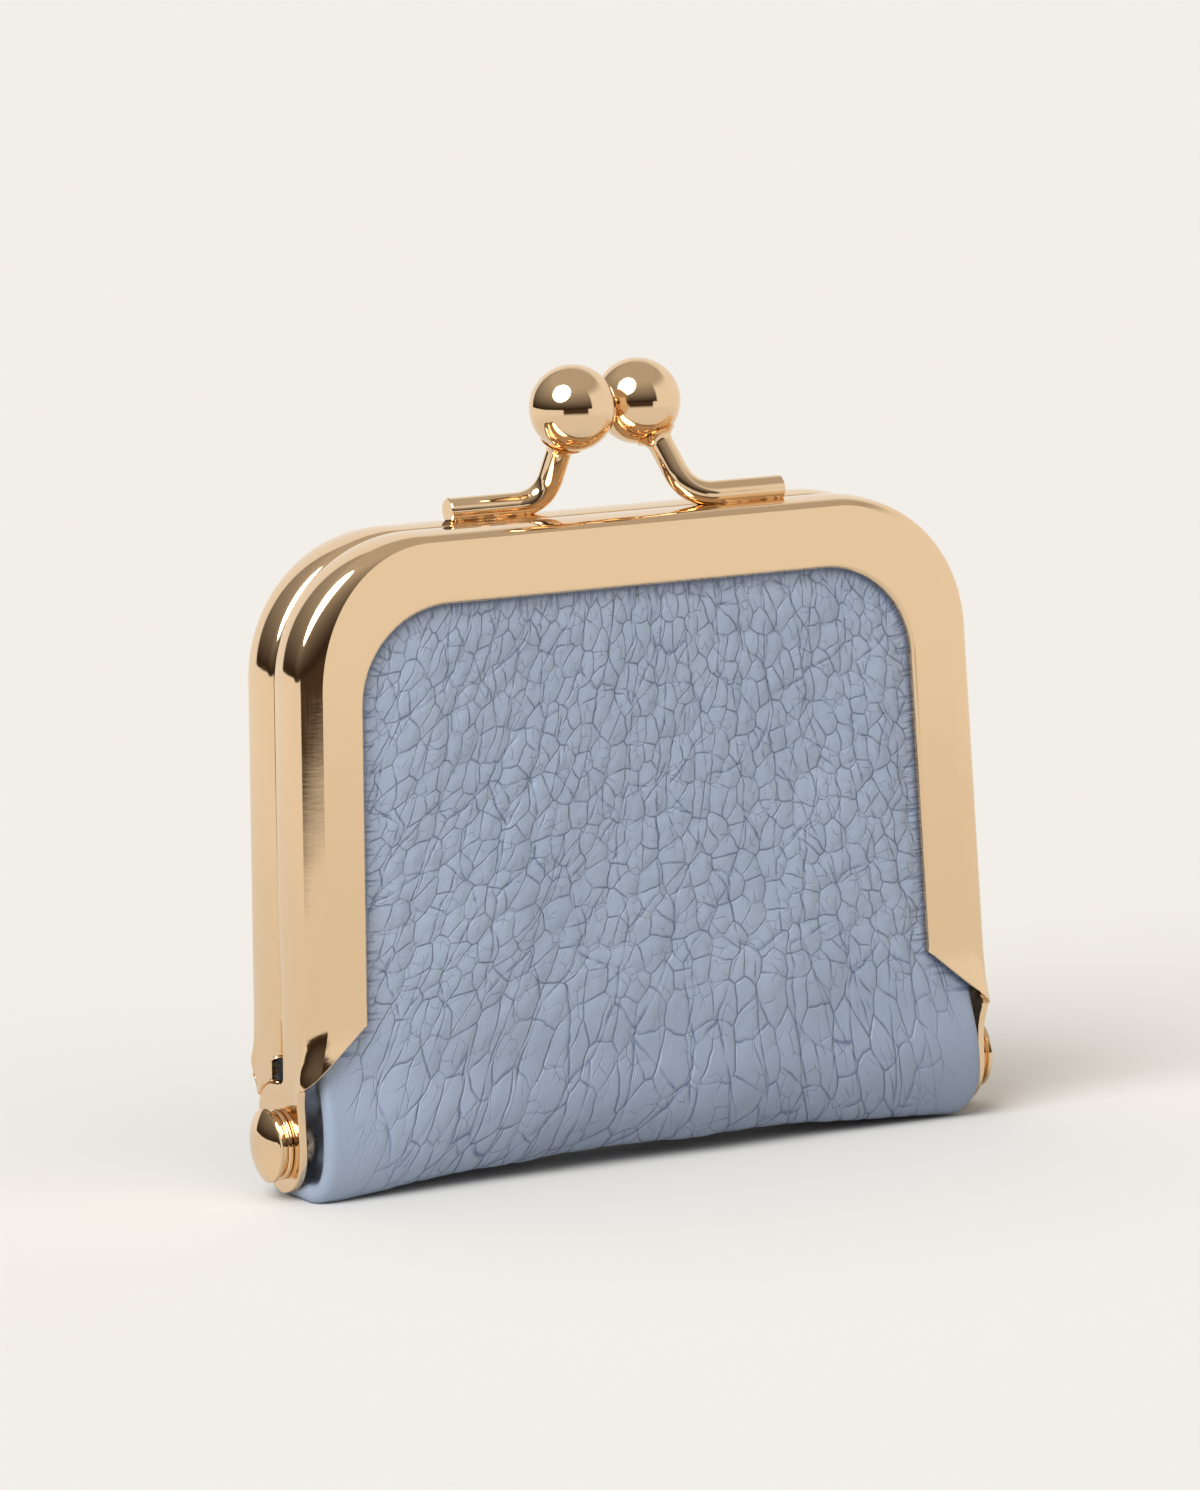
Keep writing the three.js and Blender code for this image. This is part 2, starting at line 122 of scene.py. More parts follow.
# waves 12 mm apart, wipe marks 3 mm long and 0.25 mm wide, and press marks 1.4 mm long and 0.3 mm wide,
# all drawn coarser than real so that they show
waves = node(tree, "ShaderNodeTexNoise", {"Vector": where, "Scale": 80.0, "Detail": 2.0})
wiped = node(tree, "ShaderNodeMapping", {"Vector": where, "Scale": (4000.0, 4000.0, 300.0)})
marks = node(tree, "ShaderNodeTexNoise", {"Vector": wiped.outputs[0], "Scale": 1.0, "Detail": 3.0})
dull = node(tree, "ShaderNodeMapRange", {"Value": marks.outputs["Fac"], "From Min": 0.35, "From Max": 0.8,
                                         "To Min": 0.05, "To Max": 0.10})
tree.links.new(dull.outputs[0], surface.inputs["Roughness"])
pressed = node(tree, "ShaderNodeMapping", {"Vector": where, "Scale": (700.0, 700.0, 3000.0)})
press = node(tree, "ShaderNodeTexNoise", {"Vector": pressed.outputs[0], "Scale": 1.0, "Detail": 1.0})
uneven = node(tree, "ShaderNodeMath", {0: press.outputs["Fac"], 1: 0.02, 2: waves.outputs["Fac"]},
              operation="MULTIPLY_ADD")
ripple = node(tree, "ShaderNodeBump", {"Height": uneven.outputs[0], "Strength": 0.12, "Distance": 0.0006})
tree.links.new(ripple.outputs[0], surface.inputs["Normal"])


def make_piece(name, grids, material, closed=True, sharp=35.0):
    """An object from grids of points in mm, (rows, columns, 3) each, with a quad between each four neighbours.
    Closed shells have their doubles merged and their faces turned outwards; edges past the angle stay sharp."""
    points, quads, first = [], [], 0
    for grid in grids:
        rows, columns = grid.shape[:2]
        index = first + np.arange(rows * columns).reshape(rows, columns)
        corners = [index[:-1, :-1], index[:-1, 1:], index[1:, 1:], index[1:, :-1]]
        quads.append(np.stack(corners, -1).reshape(-1, 4))
        points.append(grid.reshape(-1, 3))
        first += rows * columns
    mesh = bpy.data.meshes.new(name)
    mesh.from_pydata((np.concatenate(points) * 0.001).tolist(), [], np.concatenate(quads).tolist())
    if closed:
        shell = bmesh.new()
        shell.from_mesh(mesh)
        bmesh.ops.remove_doubles(shell, verts=shell.verts, dist=2e-6)
        bmesh.ops.dissolve_degenerate(shell, edges=shell.edges, dist=1e-7)
        bmesh.ops.recalc_face_normals(shell, faces=shell.faces)
        shell.to_mesh(mesh)
        shell.free()
    mesh.shade_smooth()
    mesh.set_sharp_from_angle(angle=np.radians(sharp))
    mesh.materials.append(material)
    piece = bpy.data.objects.new(name, mesh)
    bpy.context.scene.collection.objects.link(piece)
    return piece


def half_width(z):
    """Half the frame's outer width at a height: the sides spread steadily towards the hinge."""
    return TOP_HALF_WIDTH + SIDE_SPREAD * (FRAME_TOP - z)


def eased(value, low, high):
    """0 below low, 1 above high, and a smooth step between them."""
    share = np.clip((value - low) / (high - low), 0, 1)
    return share * share * (3 - 2 * share)


def channel_point(c, depth, rim, lean):
    """Inset n from the wall and reach t from the seam, at a depth under the channel's skin. c counts along its
    section: 0 to 1 is the seam flange, to 2 a quarter circle, to 3 the wall, to 4 one radian of the rim's ellipse,
    which takes the width called rim from the face, to 5 the face and to 6 the bevel at its edge, which a small arc
    leads into. The wall bows out as a parabola whose ends lean by that angle, and the bends beside it stop short by
    the same."""
    rim = np.maximum(rim, depth)
    seam_radius, rim_depth = SEAM_BEND - depth, RIM_DEPTH - depth
    seam, fold, wall, turned, face, edge = (np.clip(c - k, 0, 1) for k in range(6))
    fold = fold * (np.pi / 2 - lean)
    start = 0.55 * lean * rim_depth / np.maximum(rim - depth, 0.3)
    bend = start + (1 - start) * turned
    length = WALL + seam_radius * np.sin(lean)
    cut = BEVEL * edge
    n = SEAM_FLANGE - (SEAM_FLANGE - SEAM_BEND) * seam - seam_radius * np.sin(fold)
    n = n - length * np.tan(lean) * wall * (1 - wall)
    n = n + (rim - depth) * (np.cos(start) - np.cos(bend)) / (np.cos(start) - np.cos(1))
    n = n + (FLANGE - BEVEL - rim) * face + cut
    t = SEAM_CLEARANCE + depth + seam_radius * (1 - np.cos(fold)) + length * wall
    t = t + rim_depth * (np.sin(bend) - np.sin(start)) / (np.sin(1) - np.sin(start))
    t = t - BEVEL_ARC + np.sqrt(BEVEL_ARC ** 2 - np.minimum(cut, BEVEL_ROUND) ** 2)
    return n, t - BEVEL_SLOPE * np.maximum(cut - BEVEL_ROUND, 0)


# steps along the arch: up the left side, round the corner and to the middle of the top
SIDE_STEPS, CORNER_STEPS, TOP_STEPS = 39, 47, 17
side_share = np.concatenate([np.linspace(0, 1, SIDE_STEPS + 1)[1:], np.ones(CORNER_STEPS + TOP_STEPS)])[:, None]
top_share = np.concatenate([np.zeros(SIDE_STEPS + CORNER_STEPS), np.linspace(0, 1, TOP_STEPS + 1)[1:]])[:, None]
side_angle = np.pi - np.arctan(SIDE_SPREAD)
corner_angles = np.linspace(side_angle, np.pi / 2, CORNER_STEPS + 1)[1:]
arch_angle = np.concatenate([np.full(SIDE_STEPS, side_angle), corner_angles, np.full(TOP_STEPS, np.pi / 2)])[:, None]


def arch_line(n):
    """x and z along those steps for the curve set in by each n: the corner's radius falls steadily from the wall to
    the flange's edge, and its centre lies on the line that halves the corner."""
    radius, top = WALL_CORNER - (WALL_CORNER - WINDOW_CORNER) * n / FLANGE, FRAME_TOP - n
    half_angle = np.arccos(-SIDE_SPREAD / np.hypot(SIDE_SPREAD, 1)) / 2
    centre_x = n - half_width(top) + radius / np.tan(half_angle)
    x, z = centre_x + radius * np.cos(arch_angle), top - radius + radius * np.sin(arch_angle)
    low = n - half_width(FLANGE_FOOT)
    x = (low + (x - low) * side_share) * (1 - top_share)
    return np.stack([x, FLANGE_FOOT + (z - FLANGE_FOOT) * side_share], -1)


# steps across the section, as channel_point counts them, and heights up the arm; both are close together at bends
section_steps = np.concatenate([np.linspace(0, 1, 9)[:-1], np.linspace(1, 2, 21)[:-1], np.linspace(2, 3, 17)[:-1],
                                np.linspace(3, 4, 25)[:-1], 4 + np.linspace(0, 1, 13)[:-1] ** 1.2,
                                np.linspace(5, 6, 19)])
arm_z = np.concatenate([HINGE_Z - LUG_RADIUS * np.cos(np.linspace(0, np.pi / 2, 24)),
                        np.linspace(HINGE_Z, NOTCH_FOOT, 56)[1:], [NOTCH_FOOT + 0.01],
                        np.linspace(NOTCH_FOOT + 0.1, NOTCH_TOP - NOTCH_SLOPE, 16),
                        np.linspace(NOTCH_TOP - 0.58, NOTCH_TOP, 12)[:-1], [NOTCH_TOP - 0.01],
                        np.linspace(NOTCH_TOP + 0.01, FLANGE_FOOT, 26)])[:, None]


def seam_gap(z):
    """How far the front half's seam edge draws back as it nears the hinge."""
    return SEAM_GAP * eased(-z, -28, -14) * (1 - eased(section_steps, 1, 3))


def pressed_bump(far, at, tall):
    """A bump pressed out of the arm: a bell curve over its heights."""
    return far * np.exp(-((arm_z - at) / tall) ** 2)


def arm_skin(depth, ease, notched):
    """The left arm of one half at a depth, as a grid up the arm and across the section. Below the flange's foot the
    section loses its face along a slope and its seam flange along another, and goes on as a flat arm that ends in the
    lug's circle. The front lug stands a little out; the back arm steps in behind it, past a notch."""
    z, across = arm_z, section_steps

    # the face is cut off along a slope from the flange's foot to the wall's foot: last is the c at which it ends
    rim = RIM_AT_SIDE - (RIM_AT_SIDE - RIM_AT_LUG) * eased(-z, -FLANGE_FOOT, -11.5)
    slope = np.clip((z - WALL_FOOT) / (FLANGE_FOOT - WALL_FOOT), 0, 1) * FLANGE
    flat_end = FLANGE - BEVEL
    on_rim = 3 + np.arccos(1 - np.minimum(slope, rim) / rim * (1 - np.cos(1)))
    on_face = 4 + (np.minimum(slope, flat_end) - rim) / (flat_end - rim) + np.maximum(slope - flat_end, 0) / BEVEL
    last = np.where(slope < rim, on_rim, on_face)
    kept = np.minimum(across, np.maximum(last - 0.05 * ease, 3))
    n, t = channel_point(kept, depth, rim, WALL_LEAN * eased(z, NOTCH_TOP + 0.31, FLANGE_FOOT))

    # the arm and its lug lie flat between first, towards the seam, and end, towards the face
    bow = np.sqrt(np.maximum(LUG_RADIUS ** 2 - np.minimum(z - HINGE_Z, 0) ** 2, 0))
    shoulder = np.clip((z - LUG_SHOULDER) / (LUG_TOP - LUG_SHOULDER), 0, 1)
    lobe = (bow + SEAM_CLEARANCE) * np.sqrt(1 - shoulder ** 2) - SEAM_CLEARANCE
    small = BACK_LUG_SHARE * bow
    notch = SEAM_CLEARANCE + (NOTCH_REACH - SEAM_CLEARANCE) * np.clip((NOTCH_TOP - z) / NOTCH_SLOPE, 0, 1)
    below_notch = -small + (small + NOTCH_REACH) * eased(z, 8.3, NOTCH_FOOT)
    first = np.where(z > NOTCH_FOOT + 0.005, notch, below_notch) if notched else -lobe
    end = bow + (ARM_REACH - bow) * np.clip((z - ARM_FOOT) / (WALL_FOOT - ARM_FOOT), 0, 1) ** 2.5
    spare = np.minimum(EDGE_ROUND * ease, (end - first) / 2)
    flat = eased(-z, -NOTCH_TOP - 0.3, 0.1 - NOTCH_TOP) if notched else eased(-z, -11.0, -10.2)
    n = np.where(across < 2, n + (depth - n) * flat, n)
    t = np.where(across < 2, t + (first + (SEAM_CLEARANCE + SEAM_BEND - first) * across / 2 - t) * flat, t)
    t = np.where(z < NOTCH_TOP + 0.005, np.maximum(t, first + spare), t)
    t = np.where(z < WALL_FOOT, np.minimum(t, end - spare), t)

    # its plane runs from the wall's down to the lug's, and the front arm's face flares a little towards the lug
    if notched:
        plane = half_width(z) - (half_width(z) - BACK_LUG) * eased(lobe + 0.6 - t, 0, 0.5)
        plane = plane + pressed_bump(0.4, 11.7, 1.2) * eased(across, 2.9, 3.5)
    else:
        plane = FRONT_LUG + (half_width(z) - FRONT_LUG) * eased(z, 8.0, 13.0)
        plane = plane + pressed_bump(0.25, 10.2, 1.8) * eased(across, 2.6, 3.2)
        low = np.maximum(ARM_FLARE_FROM - z, 0)
        flare = (0.03 * low + 0.01 * low ** 2) * eased(kept, 2.95 + 0.6 * eased(z, 11.5, 16), 4.15)
        t = t + flare + seam_gap(z) * (1 - flat)
    return np.stack([n - plane, -t, z + 0 * t], -1)


def frame_skin(depth, ease, notched):
    """One half's whole sheet at a depth: the left arm, then the channel round the arch to the middle of the top, and
    both mirrored. The rim is widest at the sides, by the square of the cosine. Ease draws in the cut edges."""
    rim = RIM_AT_TOP + (RIM_AT_SIDE - RIM_AT_TOP) * np.cos(arch_angle) ** 2
    n, t = channel_point(np.minimum(section_steps, 6 - 0.2 * ease), depth, rim, WALL_LEAN)
    line = arch_line(n)
    x, z = line[..., 0], line[..., 1]
    t = t + (0 if notched else seam_gap(z))
    arch = np.stack([x, np.broadcast_to(-t, x.shape), z], -1)
    left = np.concatenate([arm_skin(depth, ease, notched), arch])
    return np.concatenate([left, left[-2::-1] * [-1, 1, 1]])


def frame_grids(notched):
    """Outer and inner skin and the strips along their edges, each with a small rounding on the outside."""
    outer, inner = frame_skin(0.0, 1.0, notched), frame_skin(SHEET, 0.0, notched)
    edge = [frame_skin(0.05, 0.3, notched), frame_skin(0.18, 0.0, notched)]
    strips = [np.stack([outer[:, k], edge[0][:, k], edge[1][:, k], inner[:, k]]) for k in (0, -1)]
    return [outer, inner, *strips]


half_turn = np.array([-1, -1, 1])
front_frame = make_piece("front_frame_half", frame_grids(False), gold_plate, sharp=8.5)
back_frame = make_piece("back_frame_half", [grid * half_turn for grid in frame_grids(True)], gold_plate, sharp=8.5)
for piece, body, cad in ((front_frame, "front_half", "front_frame"), (back_frame, "back_half", "back_frame")):
    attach(piece, body)
    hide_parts(cad)


# Hinge rivets and washers: turned brass rivets, one through both lugs on each side, with a low domed head
# outside over a loose washer, and a tail pressed flat inside. Plated with the frame.


def lathe(profile, centre, axis, around=96):
    """A profile of (radius, place) pairs turned about an axis through a centre; a place is measured along the axis."""
    radius, place = np.array(profile, float).T
    axis = np.array(axis, float) / np.linalg.norm(axis)
    aside = np.cross(axis, [0, 0, 1] if abs(axis[2]) < 0.9 else [0, 1, 0])
    aside /= np.linalg.norm(aside)
    turn = np.linspace(0, 2 * np.pi, around + 1)[None, :, None]
    round_about = np.cos(turn) * aside + np.sin(turn) * np.cross(axis, aside)
    return np.array(centre) + place[:, None, None] * axis + radius[:, None, None] * round_about


def rounded_step(radius, place, size, steps=5):
    """A quarter-round edge of a lathe profile, from a flat at that place on to a wall at that radius."""
    angle = np.linspace(0, np.pi / 2, steps)
    return [(radius - size * (1 - np.sin(a)), place + size * (1 - np.cos(a))) for a in angle]


PIN_RADIUS = 1.25
TAIL_RADIUS = 2.3
TAIL_FROM, TAIL_TO = 32.3, 33.4
COLLAR_RADIUS = 2.75
WASHER_BORE = 1.4
WASHER_RADIUS = 3.15
WASHER_FROM, WASHER_TO = FRONT_LUG + 0.02, FRONT_LUG + 0.54
COLLAR_FROM = WASHER_TO + 0.02
HEAD_RADIUS = 3.3
HEAD_FROM = FRONT_LUG + 1.0
DOME_FROM = HEAD_FROM + 0.48
DOME_RISE = 0.85
dome = [((HEAD_RADIUS - 0.1) * a, DOME_FROM + DOME_RISE * (1 - a ** 2.2)) for a in np.linspace(1, 0, 24)]
rivet_line = [(0, TAIL_FROM), *rounded_step(TAIL_RADIUS, TAIL_FROM, 0.35), (TAIL_RADIUS, TAIL_TO),
              (PIN_RADIUS, TAIL_TO), (PIN_RADIUS, COLLAR_FROM), (COLLAR_RADIUS, COLLAR_FROM),
              (COLLAR_RADIUS, HEAD_FROM), *rounded_step(HEAD_RADIUS, HEAD_FROM, 0.2),
              (HEAD_RADIUS, DOME_FROM - 0.08), *dome]
washer_line = [(WASHER_BORE, WASHER_FROM), *rounded_step(WASHER_RADIUS, WASHER_FROM, 0.2),
               *[(r, -p) for r, p in rounded_step(WASHER_RADIUS, -WASHER_TO, 0.2)[::-1]],
               (WASHER_BORE, WASHER_TO), (WASHER_BORE, WASHER_FROM)]
for name, side in (("left", -1), ("right", 1)):
    for part, line in (("rivet", rivet_line), ("washer", washer_line)):
        piece = make_piece(f"{name}_hinge_{part}_turned", [lathe(line, (0, 0, HINGE_Z), (side, 0, 0))], gold_plate)
        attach(piece, "back_half")
        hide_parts(f"{name}_hinge_{part}")


# Kiss-lock clasp: a bent round wire lies soldered along the top of each half, rises and carries a hollow ball.
# The balls lean over the seam, so that each catches behind the other. Solder fills the wire's foot and neck.
BALL_RADIUS = 3.9
WIRE_RADIUS = 1.15
WIRE_CHAMFER = 0.1
WIRE_Y = -2.4
WIRE_SUNK = 0.1
ELBOW_REACH = 2.7


def wire_rings(line, radius, normal, around=40):
    """A round wire along a line that lies in one plane with that normal: each ring stands across the line, and the
    ends are flat with a small chamfer."""
    line = np.array(line, float)
    ahead = np.gradient(line, axis=0)
    ahead /= np.linalg.norm(ahead, axis=1, keepdims=True)
    aside = np.cross(normal, ahead)
    small = radius - WIRE_CHAMFER
    size = np.concatenate([[0, small, radius], np.full(len(line) - 2, radius), [radius, small, 0]])
    line = np.concatenate([line[:1], line[:1], line[:1] + WIRE_CHAMFER * ahead[:1], line[1:-1],
                           line[-1:] - WIRE_CHAMFER * ahead[-1:], line[-1:], line[-1:]])
    aside = np.concatenate([aside[:1]] * 3 + [aside[1:-1]] + [aside[-1:]] * 3)
    turn = np.linspace(0, 2 * np.pi, around + 1)[None, :, None]
    return line[:, None] + size[:, None, None] * (np.cos(turn) * normal + np.sin(turn) * aside[:, None])


def clasp_grids(ball, elbow_x, end_x):
    """Wire, ball and solder of the front half: the wire runs level, turns in a curve of even tangents at the elbow
    and rises into the ball. A hollow cone of solder rounds the neck, and a low fillet follows the foot, with an
    elliptical section that swells and shrinks by two sines."""
    ball = np.array(ball, float)
    elbow = np.array([elbow_x, WIRE_Y, FRAME_TOP + WIRE_RADIUS - WIRE_SUNK])
    run = np.array([1.0, 0, 0])
    rise = (ball - elbow) / np.linalg.norm(ball - elbow)
    normal = np.cross(run, rise)
    normal /= np.linalg.norm(normal)
    share = np.linspace(0, 1, 40)[:, None]
    before, after = elbow + run * ELBOW_REACH, elbow + rise * ELBOW_REACH
    straight = elbow + run * ((end_x - elbow_x) * (1 - share) + ELBOW_REACH * share)
    curve = (1 - share) ** 2 * before + 2 * share * (1 - share) * elbow + share ** 2 * after
    tip = ball - rise * (BALL_RADIUS - 1.6)
    climb = after * (1 - share) + tip * share
    wire = wire_rings(np.concatenate([straight, curve[1:], climb[1:]]), WIRE_RADIUS, normal)
    around = np.linspace(0, np.pi, 64)
    sphere = lathe([(BALL_RADIUS * np.sin(a), -BALL_RADIUS * np.cos(a)) for a in around], ball, rise)
    neck = np.linspace(0, 1, 14)
    solder = [(WIRE_RADIUS + 0.02 + 0.75 * s ** 2.2, -4.45 + 0.85 * s) for s in neck]
    collar = lathe([(0, -4.6), (1.0, -4.6), *solder, (1.0, -3.4), (0, -3.4)], ball, rise)
    along = np.linspace(elbow_x + 1.2, end_x - 0.15, 60)
    swell = 0.3 + 0.10 * np.sin(along * 1.3) + 0.05 * np.sin(along * 3.1 + 1)
    swell *= eased(along, along.min(), along.min() + 0.8) * eased(-along, -along.max(), -along.max() + 0.5)
    bow = np.linspace(0, 2 * np.pi, 25)[None, :]
    wide = (WIRE_RADIUS * 0.75 + swell)[:, None]
    high = (0.1 + 0.8 * swell)[:, None]
    fillet = np.stack([np.broadcast_to(along[:, None], (60, 25)), elbow[1] + wide * np.cos(bow),
                       FRAME_TOP - 0.05 + high * np.sin(bow)], -1)
    lids = [np.repeat(fillet[k:k + 1].mean(1, keepdims=True), 25, 1) for k in (0, -1)]
    return [wire, np.concatenate([lids[0], fillet, lids[1]])], [sphere, collar]


for name, turn, ball, elbow_x, end_x in (("front", 1, (4.25, 1.5, 68.0), 7.05, 16.4),
                                         ("back", half_turn, (3.8, 1.5, 68.1), 5.2, 14.7)):
    stem, bead = clasp_grids(ball, elbow_x, end_x)
    for part, grids in (("stem", stem), ("ball", bead)):
        piece = make_piece(f"{name}_clasp_{part}_soldered", [grid * turn for grid in grids], gold_plate)
        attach(piece, f"{name}_half")
        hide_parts(f"{name}_clasp_{part}")


# Outer leather: one strip of drum-dyed cowhide 1 mm thick, tumbled so that its grain shrinks into pebbles.
# It runs from the front channel under the hinge to the back channel, with both side edges turned in.
SHEET_STEP = 0.36
PANEL_TOP = (-5.3, 55.3)
PANEL_CORNER = 10.0
PANEL_FOOT = (-5.3, 12.6)
BELLY = (-6.7, 5.9)
HEEL = (-3.6, 0.0)
EDGE_INSET = 3.2
EDGE_OUT = 1.35
EDGE_FLAP = 2.4
PILLOW = 0.52
GATHER = 0.10
FOLD_ARCH = 1.4
FOLD_HALF_WIDTH = 31.5
TABLE_GAP = 0.03
CELL_WIDTH = 1.8
CELL_STRETCH = 2.1
GRAIN_HALF_WIDTH = 33.4


def distances(line):
    """How far along a line of points each of them lies."""
    return np.concatenate([[0], np.cumsum(np.linalg.norm(np.diff(line, axis=0), axis=1))])


def section_line():
    """y, z and the outward normal down the leather's section at even steps: a straight panel, a curve that swells
    below the frame, a curve under to the heel and a flat underside, then the same mirrored up the back."""
    share = np.linspace(0, 1, 400)[:, None]
    rest = 1 - share

    def curve(a, b, c, d):
        """A cubic Bezier curve from a to d, which leaves towards b and comes in from c."""
        return rest ** 3 * a + 3 * share * rest ** 2 * b + 3 * share ** 2 * rest * c + share ** 3 * d

    top, panel_foot, belly, heel = np.array([PANEL_TOP, PANEL_FOOT, BELLY, HEEL])
    panel = top * rest + panel_foot * share
    swell = curve(panel_foot, panel_foot - [0, 3.0], belly + [0, 2.6], belly)
    under = curve(belly, belly - [0, 3.7], heel - [2.0, 0], heel)
    half = np.concatenate([panel, swell[1:], under[1:], (heel * rest)[1:]])
    line = np.concatenate([half, half[-2::-1] * [-1, 1]])
    length = distances(line)
    even = np.linspace(0, length[-1], int(length[-1] / SHEET_STEP) + 1)
    y, z = np.interp(even, length, line[:, 0]), np.interp(even, length, line[:, 1])
    dy, dz = np.gradient(y), np.gradient(z)
    size = np.hypot(dy, dz)
    return y, z, dz / size, -dy / size


def from_corner(x, z):
    """How far out, and how far up, a point lies from the middle of the window's corner arc on its side."""
    return np.abs(x) - half_width(z) + FLANGE + WINDOW_CORNER, z - FRAME_TOP + FLANGE + WINDOW_CORNER


def free_edge(x, z):
    """How far a point of the panel lies from the flange: inside the window, a box with round upper corners, or below
    the line along which the flange's end is cut. Negative under the flange."""
    a, b = from_corner(x, z)
    window = WINDOW_CORNER - np.hypot(np.maximum(a, 0), np.maximum(b, 0)) - np.minimum(np.maximum(a, b), 0)
    foot = np.array([half_width(FLANGE_FOOT) - FLANGE, FLANGE_FOOT])
    slope = np.array([half_width(WALL_FOOT), WALL_FOOT]) - foot
    slope /= np.linalg.norm(slope)
    below = (np.abs(x) - foot[0]) * slope[1] - (z - foot[1]) * slope[0]
    return np.maximum(window, np.minimum(below, 4))


# Each side edge lies inside the channel, comes out below it and is turned in by half a circle with a flat flap.
y, z, ny, nz = section_line()
front = y < 0
roll = 0.45 + 0.4 * eased(-z, -14, -8)
top_corner = PANEL_CORNER - np.sqrt(PANEL_CORNER ** 2 - np.clip(z - 45.4, 0, 9.9) ** 2)
reach = half_width(z) - EDGE_INSET + EDGE_OUT * eased(-z, -17, -12.5) - top_corner
turn_in = np.linspace(0, np.pi, 9)[1:]
flap = np.linspace(0, 1, 5)[1:]


def corner_cut(deep, tall):
    """How far the leather's side edge draws in near the floor: a quarter ellipse of that width and height."""
    down = np.clip((tall - z) / tall, 0, 1)
    return deep * (1 - np.sqrt(1 - down ** 2))


sides = []
for side, deep, tall in ((-1, -0.8, 4.0), (1, 2.6, 4.6)):
    edge = (reach + 0.15 * (side > 0) - corner_cut(deep, tall) - roll)[:, None]
    curl = roll[:, None]
    past = np.concatenate([edge + curl * np.sin(turn_in), edge - EDGE_FLAP * flap], 1)
    sunk = np.concatenate([curl * (1 - np.cos(turn_in)), 2 * curl + 0 * flap], 1)
    travel = np.concatenate([edge + curl * turn_in, edge + curl * np.pi + EDGE_FLAP * flap], 1)
    sides.append((edge, side * past, sunk, side * travel))
(left_edge, left_x, left_sunk, left_travel), (right_edge, right_x, right_sunk, right_travel) = sides
middle = (right_edge - left_edge) / 2 + (right_edge + left_edge) / 2 * np.linspace(-1, 1, 192)
x = np.concatenate([left_x[:, ::-1], middle, right_x], 1)
travel = np.concatenate([left_travel[:, ::-1], middle, right_travel], 1)
sunk = np.concatenate([left_sunk[:, ::-1], 0 * middle, right_sunk], 1)
y, z, ny, nz = (np.broadcast_to(a[:, None], x.shape) for a in (y, z, ny, nz))

# The panel pillows out of the window and hangs a little slack, small gathers run in from the flange's edge,
# and the fold is arched in the middle, so that the pouch stands on its two ends.
free = free_edge(x, z)
pillow = PILLOW * eased(free, -0.4, 3.2) * eased(z, 6, 13)
gathers = np.sin(3.1 * (x + z) + 2 * np.sin(0.9 * x)) * np.sin(2.3 * (x - z) + 1.7 * np.sin(0.7 * z))
gathers = GATHER * gathers * np.exp(-np.maximum(free, 0) / 0.9) * eased(free, -0.3, 0.2) * eased(z, 9, 16)
slack = 0.16 * np.sin(0.21 * x + 0.9) * np.sin(0.17 * z + 0.4) + 0.10 * np.sin(0.37 * x - 0.22 * z)
rise = pillow - gathers + slack * eased(free, 0.5, 6) - sunk
arched = FOLD_ARCH * np.clip(1 - (x / FOLD_HALF_WIDTH) ** 2, 0, 1) * eased(-z, -9, 0)
points = np.stack([x, y + ny * rise, z + nz * rise + arched], -1)
points[..., 2] = np.maximum(points[..., 2], TABLE_GAP)

# Pebble cells are 1.7 mm wide and 2.2 mm tall on the panels, leaning to the right at the left side,
# and drawn out to 4.9 mm towards the fold, where the hide is stretched. Turned edges stay smooth.
tall = CELL_WIDTH + CELL_STRETCH * eased(-z[:, :1], -19, -9)
cells_down = np.cumsum(SHEET_STEP / tall[:, 0])[:, None]
lean = 0.16 - 0.3 * np.tanh(travel / 18)
grain_x = (travel - lean * (z - 28) * np.where(front[:, None], 1, -1)) / CELL_WIDTH
grain_y = np.broadcast_to(cells_down, x.shape)
smooth_edge = eased(GRAIN_HALF_WIDTH - np.abs(travel), 0.4, 4.5)
low_corner = 1 - 0.85 * eased(np.abs(travel), 23, 32) * eased(-z, -14, -5)
depth = smooth_edge * low_corner * (0.9 + 0.1 * eased(-z, -16, -8)) * eased(free, -0.5, 1.0)
grain = np.stack([grain_x + 40, grain_y + 20, np.maximum(depth, 0)], -1)

# The hem's own measure: how far along the window's edge, and how far from it.
out_x, out_z = from_corner(x, z)
round_corner = np.where(out_x < 0, WINDOW_CORNER * np.pi / 2 - out_x, WINDOW_CORNER * np.arctan2(out_z, out_x))
around = np.where(out_z < 0, out_z, round_corner)
hem = np.stack([around * np.sign(x), np.where(z > 11, free, 9), 0 * x], -1)


